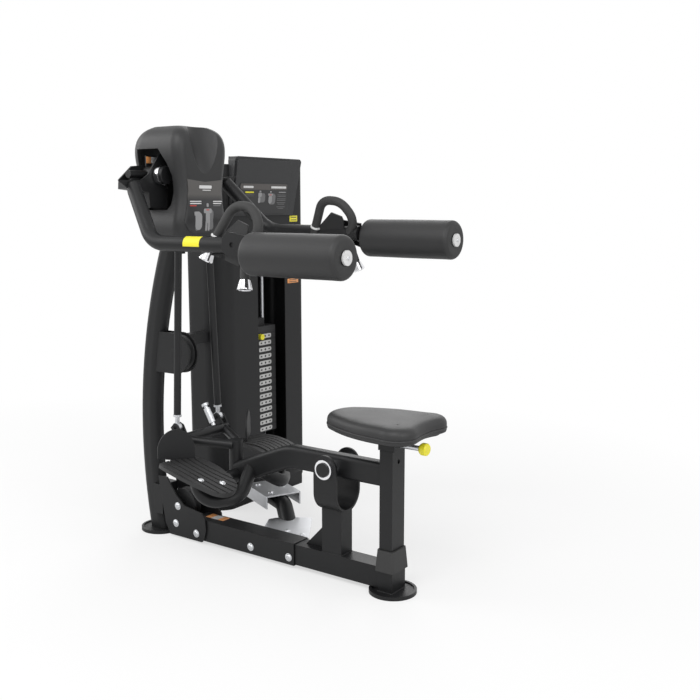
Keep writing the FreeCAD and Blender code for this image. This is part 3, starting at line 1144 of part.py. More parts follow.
# Tower base and the link to the rail
def tower_base():
    inset, rise, wide = d.tower_base_inset, d.tower_base_rise, d.tower_beam
    back, face = d.tower_back + inset, d.tower_face - inset
    near, far = d.tower_near + inset, d.tower_far - inset
    outer = Part.makeBox(face - back, far - near, rise, Vec(back, near, 0))
    hole = Part.makeBox(face - back - 2 * wide, far - near - 2 * wide, rise, Vec(back + wide, near + wide, 0))
    deck = Part.makeBox(wide, d.plate_width, rise, Vec(d.guide_at - wide / 2, d.stack_middle - d.plate_width / 2, 0))
    across = Part.makeBox(face - back, wide / 2, rise, Vec(back, d.stack_middle - wide / 4, 0))
    riser = Part.makeBox(wide, d.plate_width / 3, d.stack_floor - rise,
                         Vec(d.guide_at - wide / 2, d.stack_middle - d.plate_width / 6, rise))
    lugs = []
    for corner in (Vec(back, near, rise), Vec(back, far - wide, rise), Vec(face - wide / 2, far - wide, rise)):
        lugs.append(Part.makeBox(wide / 2, wide, wide, corner + Vec(0, 0, 0)))
    stub_at = d.link_aside + (d.link_at - face) * math.tan(math.radians(-d.link_turn))
    lugs.append(Part.makeBox(wide / 2, d.link_tube_dia * 1.4, d.channel_up - rise,
                             Vec(face - wide / 2, stub_at - d.link_tube_dia * 0.7, rise)))
    frame = outer.cut(hole).fuse([deck, across, riser] + lugs)
    frame = frame.common(tower_prism(d.tower_wall, 0, d.tower_top))
    node(feature("TowerBase", frame.removeSplitter()), "tower_base")


link_along = Vec(math.cos(math.radians(d.link_turn)), math.sin(math.radians(d.link_turn)), 0)
link_across = Vec(-link_along.y, link_along.x, 0)
lower_plate_end = d.sleeve_end - d.rail_width * 0.1


def link_spot(along, across, up):
    return Vec(d.link_at, d.link_aside, up) + link_along * along + link_across * across


def link_tube_solid(radius):
    up = d.channel_up - d.channel_thick - d.link_tube_dia / 2
    reach = (d.link_at - d.tower_face) / link_along.x
    start = link_spot(-reach - d.link_tube_dia, 0, up)
    front = d.channel_length / 2
    corner = link_spot(front, 0, up)
    down = link_spot(front + d.link_tube_dia * 1.45, -d.link_tube_dia * 0.3, d.link_low_up)
    end = Vec(d.sleeve_end - 2 * d.rail_width, 0, d.link_low_up)
    bar = round_bar(round_path([start, corner, down, end], d.link_bend_radius), radius)
    rail = Part.makeBox(d.sleeve_end, d.rail_width, d.rail_depth * 2, Vec(0, -d.rail_width / 2, 0))
    return bar.cut(rail).cut(tower_prism(0, 0, d.tower_top))


def link():
    tube = link_tube_solid(d.link_tube_dia / 2)
    hollow = link_tube_solid(d.link_tube_dia / 2 - d.tube_wall)
    node(feature("LinkTube", tube.cut(hollow)), "link_tube")
    long, wide, thick = d.channel_length / 2, d.channel_width / 2, d.channel_thick
    section = [(-wide, 0), (wide, 0), (wide, -d.channel_flange), (wide - thick, -d.channel_flange),
               (wide - thick, -thick), (thick - wide, -thick), (thick - wide, -d.channel_flange),
               (-wide, -d.channel_flange)]
    corners = [link_spot(-long, across, d.channel_up + up) for across, up in section]
    channel = extruded(corners, Vec(), link_along * 2 * long)
    up, step, end = d.lower_plate_up, d.rail_width / 2, lower_plate_end
    long_shares = [(0, 0), (1.0, 0), (1.26, 0.62), (1.2, 0.8), (0.72, 1.3), (0.6, 1.3), (0, 0.12)]
    corners = [Vec(end - d.channel_length * back, step + d.channel_width * out, up) for back, out in long_shares]
    lower = extruded(corners, Vec(), Vec(0, 0, d.lower_plate_thick)).cut(link_tube_solid(d.link_tube_dia / 2))
    node(feature("LinkPlates", Part.makeCompound([channel, lower])), "link_plates")


def link_bolts():
    bolts = []
    rise = d.link_bolt_rise
    for along, across in ((-0.3, -0.25), (0.3, -0.25), (0.0, 0.3)):
        place = link_spot(along * d.channel_length, across * d.channel_width, d.channel_up)
        bolts.append(Part.makeCylinder(d.link_bolt_dia / 2, rise, place))
    for share in (0.2, 0.55):
        place = Vec(lower_plate_end - d.channel_length * share, d.rail_width / 2 + d.channel_width * 0.2,
                    d.lower_plate_up + d.lower_plate_thick)
        bolts.append(Part.makeCylinder(d.link_bolt_dia / 2, rise, place))
    return bolts


foot("MastFoot", "mast_foot", 0)
foot("FrontFoot", "front_foot", d.post_at + 5)
mast()
rails()
side_gussets()
base_bolts()
pulley("BasePulley", "base_pulley", d.base_pulley_at, d.base_pulley_up, d.base_pulley_dia)
pulley("MidPulley", "mid_pulley", d.mid_pulley_at, d.mid_pulley_up, d.mid_pulley_dia)
mid_cheeks()
upright()
yoke()
front_post()
boot()
beam()
for side, label in ((LEFT, "left"), (RIGHT, "right")):
    tread(side, label)
    push_rod(side, label)
    arm(side, label)
tread_carrier()
toe_shields()
seat_post()
seat()
pull_pin()
head()
shroud()
console()
stack()
tower_base()
link()
doc.recompute()

# Nothing is written unless every object is sound
for item in doc.Objects:
    if "Invalid" in item.State or "Error" in item.State:
        raise RuntimeError("failed object: " + item.Name)
for item in nodes:
    if item.Shape.isNull() or not item.Shape.isValid():
        raise RuntimeError("bad shape: " + item.Label)
os.makedirs("parts", exist_ok=True)
for item in nodes:
    item.Shape.exportStep("parts/%s.step" % item.Label)
print(len(nodes), "sub-parts written")
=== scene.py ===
import bmesh
import bpy
import json
import math
from bpy.props import FloatProperty, FloatVectorProperty, PointerProperty
from mathutils import Matrix, Vector, noise
from mathutils.bvhtree import BVHTree


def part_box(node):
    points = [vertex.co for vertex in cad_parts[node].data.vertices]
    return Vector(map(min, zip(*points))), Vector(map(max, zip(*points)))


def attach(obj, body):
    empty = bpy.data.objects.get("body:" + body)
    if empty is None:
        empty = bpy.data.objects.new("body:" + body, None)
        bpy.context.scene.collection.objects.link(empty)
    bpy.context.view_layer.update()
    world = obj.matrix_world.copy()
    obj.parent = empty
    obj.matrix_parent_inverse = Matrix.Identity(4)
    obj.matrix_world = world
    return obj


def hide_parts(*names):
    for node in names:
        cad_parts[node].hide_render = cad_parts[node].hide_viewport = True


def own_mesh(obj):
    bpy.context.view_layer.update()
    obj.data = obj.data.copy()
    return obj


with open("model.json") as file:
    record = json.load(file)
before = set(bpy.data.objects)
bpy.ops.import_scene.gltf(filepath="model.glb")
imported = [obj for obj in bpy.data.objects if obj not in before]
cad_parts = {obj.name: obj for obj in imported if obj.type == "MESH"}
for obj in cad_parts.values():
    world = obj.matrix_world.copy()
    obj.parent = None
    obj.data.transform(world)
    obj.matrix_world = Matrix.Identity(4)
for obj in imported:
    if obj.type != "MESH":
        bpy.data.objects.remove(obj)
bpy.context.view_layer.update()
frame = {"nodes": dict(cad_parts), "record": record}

bl_info = {
    "name": "Lateral raise machine",
    "version": (1, 0, 0),
    "blender": (4, 5, 0),
    "location": "3D View > Sidebar > Machine",
    "description": "Upholstery, rollers, labels, fasteners and finishes of a lateral raise machine",
    "category": "Object",
}

MM = 0.001
LEFT, RIGHT = -1, 1
SIDES = ((LEFT, "left"), (RIGHT, "right"))
X, Y, Z = Vector((1, 0, 0)), Vector((0, 1, 0)), Vector((0, 0, 1))
HUB = Vector((0, 0.1, 1.287))
FAR_ARM_LIFT = math.radians(8)


def colour_property(name, description, default):
    return FloatVectorProperty(name=name, description=description, default=default, subtype="COLOR",
                               min=0.0, max=1.0)


def length_property(name, description, default):
    return FloatProperty(name=name, description=description, default=default, unit="LENGTH", min=0.0)


class MachineSizes(bpy.types.PropertyGroup):
    piping: length_property("Piping", "Radius of the welt round the seat", 3.2 * MM)
    seat_noise: length_property("Seat hand wear", "Depth of the soft unevenness of the upholstery", 0.9 * MM)
    pad_shoulder: length_property("Roller shoulder", "Rounding of the roller pads' ends", 15 * MM)
    label_width: length_property("Plate label width", "Width of a weight plate's label", 75 * MM)
    label_height: length_property("Plate label height", "Height of a weight plate's label", 17 * MM)
    film: length_property("Film thickness", "Thickness of printed film and stickers", 0.35 * MM)
    bolt_radius: length_property("Bolt head", "Radius of the round bolt heads", 11 * MM)
    bevel: length_property("Edge rounding", "Shaded rounding of painted edges", 1.3 * MM)


class MachineColours(bpy.types.PropertyGroup):
    paint: colour_property("Powder coat", "Satin black of the tubes", (0.009, 0.0092, 0.0098))
    casing: colour_property("Casing", "Moulded head casing", (0.012, 0.0122, 0.0128))
    console: colour_property("Console", "Moulded console panel", (0.02, 0.0205, 0.022))
    vinyl: colour_property("Vinyl", "Seat upholstery", (0.012, 0.012, 0.0125))
    foam: colour_property("Foam skin", "Roller pads", (0.014, 0.014, 0.0145))
    tread: colour_property("Tread", "Ribbed footboards", (0.016, 0.016, 0.0165))
    zinc: colour_property("Zinc", "Plated link and fasteners", (0.66, 0.67, 0.69))
    label: colour_property("Label", "Weight plate labels", (0.62, 0.62, 0.61))
    yellow: colour_property("Yellow", "Adjustment points", (0.86, 0.78, 0.03))
    orange: colour_property("Orange", "Caution labels", (0.86, 0.36, 0.12))


def sizes():
    return bpy.context.scene.machine_sizes


def colours():
    return bpy.context.scene.machine_colours


# Shader maths
class Num:
    """A shader socket that takes part in plain arithmetic."""

    def __init__(self, shade, socket):
        self.shade, self.socket = shade, socket

    def _math(self, operation, *values):
        inputs = {index: value for index, value in enumerate(values)}
        return self.shade.add("ShaderNodeMath", {"operation": operation}, inputs)

    def __add__(self, other):
        return self._math("ADD", self, other)

    def __sub__(self, other):
        return self._math("SUBTRACT", self, other)

    def __rsub__(self, other):
        return self._math("SUBTRACT", other, self)

    def __mul__(self, other):
        return self._math("MULTIPLY", self, other)

    __radd__ = __add__
    __rmul__ = __mul__

    def above(self, level):
        return self._math("GREATER_THAN", self, level)


class Shade:
    """A material whose nodes are written as expressions."""

    def __init__(self, name):
        self.material = bpy.data.materials.new(name)
        self.material.use_nodes = True
        self.nodes = self.material.node_tree.nodes
        self.links = self.material.node_tree.links
        self.nodes.clear()
        self.place = self.add("ShaderNodeTexCoord", output="Object")

    def add(self, kind, settings=None, inputs=None, output=0):
        node = self.nodes.new(kind)
        for key, value in (settings or {}).items():
            if key == "stops":
                self._stops(node.color_ramp, value)
            else:
                setattr(node, key, value)
        for key, value in (inputs or {}).items():
            self.feed(node.inputs[key], value)
        return Num(self, node.outputs[output])

    def feed(self, socket, value):
        if isinstance(value, Num):
            self.links.new(value.socket, socket)
        elif socket.type == "RGBA" and len(value) == 3:
            socket.default_value = (*value, 1.0)
        else:
            socket.default_value = value

    @staticmethod
    def _stops(ramp, stops):
        while len(ramp.elements) < len(stops):
            ramp.elements.new(1.0)
        for element, (position, level) in zip(ramp.elements, stops):
            element.position = position
            element.color = (level, level, level, 1.0)

    def stretched(self, scale):
        return self.add("ShaderNodeMapping", None, {"Vector": self.place, "Scale": scale})

    def noise(self, scale, detail=2.0, rough=0.5, vector=None):
        return self.add("ShaderNodeTexNoise", None, {
            "Vector": vector or self.place, "Scale": scale, "Detail": detail, "Roughness": rough})

    def cells(self, scale, feature="DISTANCE_TO_EDGE"):
        return self.add("ShaderNodeTexVoronoi", {"feature": feature}, {"Vector": self.place, "Scale": scale})

    def ramp(self, factor, stops):
        return self.add("ShaderNodeValToRGB", {"stops": stops}, {"Fac": factor})

    def mix(self, factor, first, second):
        node = self.nodes.new("ShaderNodeMix")
        node.data_type = "RGBA"
        self.feed(node.inputs["Factor"], factor)
        self.feed(node.inputs[6], first)
        self.feed(node.inputs[7], second)
        return Num(self, node.outputs[2])

    def bump(self, height, distance, strength=1.0, under=None):
        inputs = {"Height": height, "Distance": distance, "Strength": strength}
        if under is not None:
            inputs["Normal"] = under
        return self.add("ShaderNodeBump", None, inputs)

    def rounded(self, radius):
        return self.add("ShaderNodeBevel", {"samples": 4}, {"Radius": radius})

    def axis(self, index):
        return self.add("ShaderNodeSeparateXYZ", None, {"Vector": self.place}, output=index)

    def finish(self, inputs):
        shader = self.add("ShaderNodeBsdfPrincipled", None, inputs)
        output = self.nodes.new("ShaderNodeOutputMaterial")
        self.links.new(shader.socket, output.inputs["Surface"])
        return self.material


def scaled(colour, factor):
    return tuple(channel * factor for channel in colour)


def powder_coat(name, colour, rough, grain=900.0):
    """Satin powder coat: orange peel, faint cloudy sheen and dust that lies on faces."""
    shade = Shade(name)
    cloud = shade.noise(5.0, 4.0, 0.6)
    peel = shade.noise(grain, 1.0)
    speck = shade.noise(2600.0, 0.0)
    tone = shade.mix(cloud, scaled(colour, 0.82), scaled(colour, 1.3))
    tone = shade.mix(speck.above(0.72) * 0.35, tone, scaled(colour, 2.2))
    return shade.finish({
        "Base Color": tone, "Roughness": cloud * 0.12 + (rough - 0.06),
        "Normal": shade.bump(peel, 0.00025, 0.55, shade.rounded(sizes().bevel)), "Specular IOR Level": 0.3})


def moulded(name, colour, rough, grain=1500.0):
    """Moulded plastic with a fine spark-eroded grain."""
    shade = Shade(name)
    grains = shade.cells(grain, "F1")
    cloud = shade.noise(7.0, 3.0)
    tone = shade.mix(cloud, scaled(colour, 0.88), scaled(colour, 1.2))
    return shade.finish({
        "Base Color": tone, "Roughness": cloud * 0.1 + grains * 0.08 + (rough - 0.08),
        "Normal": shade.bump(grains, 0.00018, 0.5, shade.rounded(1.6 * MM))})


def vinyl(name, colour):
    """Upholstery vinyl: leather cells, fine creases and a worn sheen."""
    shade = Shade(name)
    cells = shade.cells(620.0)
    creases = shade.noise(85.0, 5.0, 0.65)
    wear = shade.noise(9.0, 3.0)
    height = cells * 0.7 + creases * 0.5
    tone = shade.mix(wear, scaled(colour, 0.8), scaled(colour, 1.5))
    return shade.finish({
        "Base Color": tone, "Roughness": 0.5 - cells * 0.35 + wear * 0.12,
        "Normal": shade.bump(height, 0.0004, 0.6), "Coat Weight": 0.06, "Coat Roughness": 0.4})


def foam_skin(name, colour):
    """Dipped foam: a dull skin with shallow pores and handling marks."""
    shade = Shade(name)
    pores = shade.noise(1100.0, 2.0)
    marks = shade.noise(26.0, 4.0, 0.7)
    tone = shade.mix(marks, scaled(colour, 0.85), scaled(colour, 1.3))
    return shade.finish({
        "Base Color": tone, "Roughness": marks * 0.14 + 0.46,
        "Normal": shade.bump(pores * 0.6 + marks * 0.5, 0.0004, 0.5)})


def rubber(name, colour, rough=0.72):
    shade = Shade(name)
    grain = shade.noise(800.0, 2.0)
    dust = shade.noise(14.0, 5.0, 0.7)
    tone = shade.mix(dust, scaled(colour, 0.8), scaled(colour, 1.7))
    return shade.finish({
        "Base Color": tone, "Roughness": dust * 0.15 + (rough - 0.1),
        "Normal": shade.bump(grain, 0.0004, 0.5, shade.rounded(0.8 * MM))})


def plated(name, colour, rough, brushed):
    """Plated or polished metal with fine lines along the brushing and soft smudges."""
    shade = Shade(name)
    lines = shade.noise(60.0, 3.0, 0.6, shade.stretched(brushed))
    smudge = shade.noise(18.0, 3.0)
    tone = shade.mix(smudge, scaled(colour, 0.86), scaled(colour, 1.06))
    return shade.finish({
        "Base Color": tone, "Metallic": 1.0, "Roughness": lines * 0.12 + smudge * 0.08 + rough,
        "Normal": shade.bump(lines, 0.00008, 0.35, shade.rounded(0.8 * MM))})


def gloss(name, colour, rough=0.3):
    shade = Shade(name)
    cloud = shade.noise(30.0, 2.0)
    return shade.finish({
        "Base Color": shade.mix(cloud, scaled(colour, 0.93), colour), "Roughness": cloud * 0.1 + rough,
        "Normal": shade.bump(shade.noise(400.0), 0.00006, 0.4, shade.rounded(0.8 * MM))})


def printed_film(name, top, bottom, low, high):
    """Dark printed film that fades from one grey to another over its height."""
    shade = Shade(name)
    up = shade.axis(2)
    fade = (up - low) * (1.0 / (high - low))
    tone = shade.mix(fade, bottom, top)
    grain = shade.noise(900.0)
    return shade.finish({"Base Color": tone, "Roughness": grain * 0.1 + 0.28,
                         "Normal": shade.bump(grain, 0.00004, 0.3), "Coat Weight": 0.1})


def belt_weave(name, colour):
    """Flat black belt with ribs along its length."""
    shade = Shade(name)
    ribs = shade.add("ShaderNodeTexWave", {"bands_direction": "Y"}, {
        "Vector": shade.place, "Scale": 160.0, "Distortion": 0.6, "Detail": 1.0}, output=1)
    tone = shade.mix(ribs, scaled(colour, 0.6), scaled(colour, 1.5))
    return shade.finish({"Base Color": tone, "Roughness": 0.62, "Normal": shade.bump(ribs, 0.0003, 0.7)})


# Mesh helpers
def make_piece(name, mesh, material, body, smooth=True):
    bmesh.ops.recalc_face_normals(mesh, faces=mesh.faces)
    data = bpy.data.meshes.new(name)
    mesh.to_mesh(data)
    mesh.free()
    piece = bpy.data.objects.new(name, data)
    bpy.context.scene.collection.objects.link(piece)
    data.materials.append(material)
    if smooth:
        data.shade_smooth()
        data.set_sharp_from_angle(angle=math.radians(38))
    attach(piece, body)
    return piece


def bridge(mesh, first, second):
    count = len(first)
    for index in range(count):
        follow = (index + 1) % count
        mesh.faces.new((first[index], first[follow], second[follow], second[index]))


def loft(mesh, rings, cap_ends=True):
    made = [[mesh.verts.new(point) for point in ring] for ring in rings]
    for first, second in zip(made, made[1:]):
        bridge(mesh, first, second)
    if cap_ends:
        mesh.faces.new(list(reversed(made[0])))
        mesh.faces.new(made[-1])
    return made


def square_to(axis):
    helper = Z if abs(axis.normalized().dot(Z)) < 0.9 else X
    across = axis.cross(helper).normalized()
    return across, axis.normalized().cross(across)


def turned(mesh, profile, centre, axis, count=64):
    """A turned form: (radius, along) points round an axis, closed where the radius is nil."""
    across, over = square_to(axis)
    ahead = axis.normalized()
    rings = []
    for radius, along in profile:
        radius = max(radius, 0.02 * MM)
        rings.append([centre + ahead * along + across * math.cos(turn) * radius + over * math.sin(turn) * radius
                      for turn in (2 * math.pi * index / count for index in range(count))])
    loft(mesh, rings)


def swept_ring(mesh, points, radius, count=12):
    """A closed round bead that follows a closed line of points."""
    rings = []
    total = len(points)
    for index, point in enumerate(points):
        ahead = (points[(index + 1) % total] - points[index - 1]).normalized()
        side = ahead.cross(Z).normalized()
        up = side.cross(ahead)
        rings.append([mesh.verts.new(point + side * math.cos(turn) * radius + up * math.sin(turn) * radius)
                      for turn in (2 * math.pi * step / count for step in range(count))])
    for index in range(total):
        bridge(mesh, rings[index], rings[(index + 1) % total])


def rounded_corners(width, height, corner, steps=5):
    """The outline of a rounded rectangle about its middle."""
    points = []
    corner = min(corner, width / 2 - 0.05 * MM, height / 2 - 0.05 * MM)
    for sx, sy, start in ((1, 1, 0), (-1, 1, 90), (-1, -1, 180), (1, -1, 270)):
        for step in range(steps + 1):
            turn = math.radians(start + 90 * step / steps)
            points.append((sx * (width / 2 - corner) + corner * math.cos(turn),
                           sy * (height / 2 - corner) + corner * math.sin(turn)))
    return points


def tile(mesh, middle, across, up, width, height, corner, thick):
    """A thin rounded plate that stands on its middle, along across x up."""
    out = across.cross(up).normalized()
    outline = rounded_corners(width, height, corner)
    base = [middle + across * u + up * v for u, v in outline]
    edge = [point + out * thick * 0.7 for point in base]
    shrink = 1 - thick / max(width, height)
    top = [middle + (across * u + up * v) * shrink + out * thick for u, v in outline]
    loft(mesh, [base, edge, top])


def draped_tile(mesh, surface, y_middle, z_middle, width, height, corner, lift):
    """Film that follows a surface seen along -X: a fine grid of the outline laid on it."""
    outline = rounded_corners(width, height, corner, 4)
    rings = []
    for share, raise_by in ((1.0, 0.0), (1.0, lift), (0.66, lift), (0.33, lift), (0.02, lift)):
        ring = []
        for u, v in outline:
            y, z = y_middle + u * share, z_middle + v * share
            hit = surface.ray_cast(Vector((1.0, y, z)), -X)[0]
            ring.append(hit + X * raise_by)
        rings.append(ring)
    loft(mesh, rings)


def surface_of(node):
    return BVHTree.FromObject(frame["nodes"][node], bpy.context.evaluated_depsgraph_get())


def on_arm(point, side):
    """A point drawn on the left arm, carried to the arm of that side."""
    if side == LEFT:
        return point
    mirrored = Vector((point.x, -point.y, point.z))
    return HUB + Matrix.Rotation(FAR_ARM_LIFT, 3, "X") @ (mirrored - HUB) if side == RIGHT else mirrored


# Seat
def arc_points(first, middle, last, count):
    """Points on the round arc through three places in plan."""
    ax, ay, bx, by, cx, cy = first.x, first.y, middle.x, middle.y, last.x, last.y
    scale = 2 * (ax * (by - cy) + bx * (cy - ay) + cx * (ay - by))
    ux = ((ax * ax + ay * ay) * (by - cy) + (bx * bx + by * by) * (cy - ay) + (cx * cx + cy * cy) * (ay - by)) / scale
    uy = ((ax * ax + ay * ay) * (cx - bx) + (bx * bx + by * by) * (ax - cx) + (cx * cx + cy * cy) * (bx - ax)) / scale
    centre = Vector((ux, uy))
    start = math.atan2(ay - uy, ax - ux)
    through = (math.atan2(by - uy, bx - ux) - start) % (2 * math.pi)
    stop = (math.atan2(cy - uy, cx - ux) - start) % (2 * math.pi)
    if through > stop:
        stop -= 2 * math.pi
    radius = (Vector((ax, ay)) - centre).length
    return [centre + Vector((math.cos(start + stop * step / count), math.sin(start + stop * step / count))) * radius
            for step in range(count)]


def seat_outline():
    """The saddle in plan: round nose, widest near the back, hollow back edge."""
    low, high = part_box("seat_cushion")
    long, half = high.x - low.x, (high.y - low.y) / 2
    nose_half, valley = half * 0.55, 11 * MM
    right = [Vector((low.x + long * 0.13, nose_half)), Vector((low.x + long * 0.42, half * 0.86)),
             Vector((low.x + long * 0.76, half * 0.985)), Vector((high.x - long * 0.045, half * 0.87)),
             Vector((high.x - long * 0.005, half * 0.5))]
    left = [Vector((spot.x, -spot.y)) for spot in right]
    nose, back = Vector((low.x, 0)), Vector((high.x - valley, 0))
    runs = ((left[0], nose, right[0]), (right[0], right[1], right[2]), (right[2], right[3], right[4]),
            (right[4], back, left[4]), (left[4], left[3], left[2]), (left[2], left[1], left[0]))
    points = []
    for run in runs:
        points += arc_points(*run, 40)
    return smoothed(points, 6)


def smoothed(points, rounds):
    for _ in range(rounds):
        points = [(points[index - 1] + points[index] * 2 + points[(index + 1) % len(points)]) / 4
                  for index in range(len(points))]
    return points


def inset(points, distance):
    """The closed line drawn in by a distance, whichever way round it runs."""
    total = len(points)
    area = sum(points[index - 1].cross(points[index]) for index in range(total))
    turn = math.copysign(1, area)
    moved = []
    for index, point in enumerate(points):
        ahead = (points[(index + 1) % total] - points[index - 1]).normalized()
        moved.append(point + Vector((-ahead.y, ahead.x)) * distance * turn)
    return smoothed(moved, 2)


SEAT_LEVELS = (
    (0.0, 0.34), (0.0, 0.10), (0.03, 0.035), (0.12, 0.005), (0.21, 0.012), (0.245, 0.05), (0.27, 0.05),
    (0.31, 0.012), (0.42, 0.0), (0.56, 0.01), (0.68, 0.05), (0.78, 0.12), (0.86, 0.22), (0.915, 0.36),
    (0.95, 0.55), (0.975, 0.8), (0.988, 1.1), (0.996, 1.5))


class MACHINE_OT_seat(bpy.types.Operator):
    """Upholstered saddle with its lip, seam groove, piping and soft crown"""
    bl_idname = "machine.seat"
    bl_label = "Seat"

    def execute(self, context):
        low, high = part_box("seat_cushion")
        depth = high.z - low.z
        outline = seat_outline()
        rings = []
        for up, drawn in SEAT_LEVELS:
            z = low.z + depth * up
            ring = []
            for point in inset(outline, depth * drawn):
                soft = noise.noise(Vector((point.x * 14, point.y * 14, z * 30))) * sizes().seat_noise * up
                ring.append(Vector((point.x, point.y, z + soft)))
            rings.append(ring)
        middle = Vector(((low.x + high.x) / 2 + 20 * MM, 0))
        for share, up in ((0.5, 0.999), (0.25, 1.0), (0.02, 1.0)):
            last = inset(outline, depth * SEAT_LEVELS[-1][1])
            ring = []
            for point in last:
                spot = middle + (point - middle) * share
                soft = noise.noise(Vector((spot.x * 14, spot.y * 14, 1))) * sizes().seat_noise
                ring.append(Vector((spot.x, spot.y, low.z + depth * up - 1.0 * MM + soft * 0.5)))
            rings.append(ring)
        mesh = bmesh.new()
        loft(mesh, rings)
        seat = make_piece("seat_upholstery", mesh, vinyl("seat_vinyl", colours().vinyl), "seat")
        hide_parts("seat_cushion")
        welt = bmesh.new()
        line = [Vector((point.x, point.y, low.z + depth * 0.258)) for point in inset(outline, depth * 0.03)]
        swept_ring(welt, line, sizes().piping)
        make_piece("seat_piping", welt, vinyl("piping_vinyl", scaled(colours().vinyl, 1.3)), "seat")
        return {"FINISHED"}


class MACHINE_OT_rollers(bpy.types.Operator):
    """Foam rollers with rounded shoulders, and their end screws"""
    bl_idname = "machine.rollers"
    bl_label = "Roller pads"

    def execute(self, context):
        skin = foam_skin("roller_foam", colours().foam)
        steel = plated("screw_steel", colours().zinc, 0.2, (1, 1, 1))
        for _, word in SIDES:
            low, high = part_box("roller_pad_" + word)
            centre = (low + high) / 2
            radius, long = (high.z - low.z) / 2, high.x - low.x
            shoulder = sizes().pad_shoulder
            profile = [(12.8 * MM, 2 * MM), (24 * MM, 1.2 * MM), (32 * MM, 0.2 * MM)]
            steps = 8
            for step in range(steps + 1):
                turn = math.pi / 2 * step / steps
                profile.append((radius - shoulder + shoulder * math.sin(turn), shoulder - shoulder * math.cos(turn)))
            middle = [(radius - 0.25 * MM * math.sin(3 * math.pi * share), long * share)
                      for share in (0.12, 0.25, 0.4, 0.5, 0.6, 0.75, 0.88)]
            profile = profile + middle + [(wide, long - along) for wide, along in reversed(profile)]
            mesh = bmesh.new()
            turned(mesh, profile, Vector((low.x, centre.y, centre.z)), X, 96)
            roller = make_piece("roller_" + word, mesh, skin, "pad_" + word)
            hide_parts("roller_pad_" + word)
            cap_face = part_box("pad_cap_" + word)[1].x
            screw = bmesh.new()
            turned(screw, [(0, 0), (5.4 * MM, 0), (5.4 * MM, 1.6 * MM), (4.6 * MM, 2.2 * MM), (3 * MM, 2.2 * MM),
                           (2.6 * MM, 0.8 * MM), (0, 0.8 * MM)],
                   Vector((cap_face - 0.2 * MM, centre.y, centre.z)), X, 6)
            make_piece("roller_screw_" + word, screw, steel, "arm_" + word, smooth=False)
        return {"FINISHED"}


# Fasteners. Each has its middle on the plate that it clamps and the way its head points.
GUSSET_FACE, RAIL_FACE = 44 * MM, 38 * MM
GUSSET_BOLTS = ((118, 53), (219, 34.5), (130, 119))
RAIL_BOLTS = ((468, 37.3), (634, 37.3))
LINK_MIDDLE, LINK_TURN, LINK_TOP = Vector((0.328, 0.249, 0.150)), math.radians(-25), 0.150
LINK_BOLTS = ((-55.8, -34.5), (55.8, -34.5), (0.0, 41.4))
LOWER_BOLTS = ((611.2, 65.6), (546.1, 65.6))
LOWER_TOP = 80 * MM
TREAD_BOLTS = ((474, 176), (436, 236))


def bolt_head(mesh, middle, out, radius):
    """A round button head with a hexagon socket."""
    rise = radius * 0.5
    turned(mesh, [(radius * 1.25, 0), (radius * 1.25, rise * 0.18), (radius, rise * 0.2), (radius * 0.97, rise * 0.45),
                  (radius * 0.82, rise * 0.82), (radius * 0.55, rise), (radius * 0.42, rise)], middle, out, 40)
    turned(mesh, [(radius * 0.4, rise * 1.01), (radius * 0.36, rise * 1.01), (radius * 0.34, rise * 0.5),
                  (0, rise * 0.5)], middle, out, 6)


class MACHINE_OT_fasteners(bpy.types.Operator):
    """Button head bolts of the gussets, rail, link, footboards and covers"""
    bl_idname = "machine.fasteners"
    bl_label = "Fasteners"

    def execute(self, context):
        steel = plated("bolt_zinc", scaled(colours().zinc, 1.1), 0.2, (1, 1, 1))
        radius = sizes().bolt_radius
        mesh = bmesh.new()
        for side in (LEFT, RIGHT):
            for x, z in GUSSET_BOLTS:
                bolt_head(mesh, Vector((x * MM, side * GUSSET_FACE, z * MM)), Y * side, radius)
        for x, z in RAIL_BOLTS:
            bolt_head(mesh, Vector((x * MM, -RAIL_FACE, z * MM)), -Y, radius)
        turn = Matrix.Rotation(LINK_TURN, 3, "Z")
        for along, across in LINK_BOLTS:
            bolt_head(mesh, LINK_MIDDLE + turn @ Vector((along * MM, across * MM, 0)), Z, radius * 0.8)
        for x, y in LOWER_BOLTS:
            bolt_head(mesh, Vector((x * MM, y * MM, LOWER_TOP)), Z, radius * 0.8)
        bolts = make_piece("bolt_heads", mesh, steel, "frame")
        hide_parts("base_bolts")
        for side, word in SIDES:
            surface = surface_of("tread_" + word)
            mesh = bmesh.new()
            for x, y in TREAD_BOLTS:
                hit, normal = surface.ray_cast(Vector((x * MM, side * y * MM, 1.0)), -Z)[:2]
                bolt_head(mesh, hit - normal * 0.3 * MM, normal, radius * 0.72)
            make_piece("footboard_bolts_" + word, mesh, steel, "rocker")
        return {"FINISHED"}


PLATE_PITCH = 27.5 * MM


def plate_labels(name, body, levels, material, mark):
    low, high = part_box("stack_plates")
    face, middle = high.x, (low.y + high.y) / 2
    width, height = sizes().label_width, sizes().label_height
    labels, marks = bmesh.new(), bmesh.new()
    for z in levels:
        tile(labels, Vector((face, middle, z)), Y, Z, width, height, height * 0.36, 1.0 * MM)
        turned(marks, [(4.6 * MM, 0), (4.6 * MM, 0.5 * MM), (0, 0.5 * MM)], Vector((face + 0.9 * MM, middle, z)), X, 24)
        for offset in (-24, 24):
            tile(marks, Vector((face + 0.95 * MM, middle + offset * MM, z)), Y, Z, 9 * MM, 6 * MM, 1.2 * MM, 0.3 * MM)
    make_piece(name, labels, material, body)
    make_piece(name + "_marks", marks, mark, body)


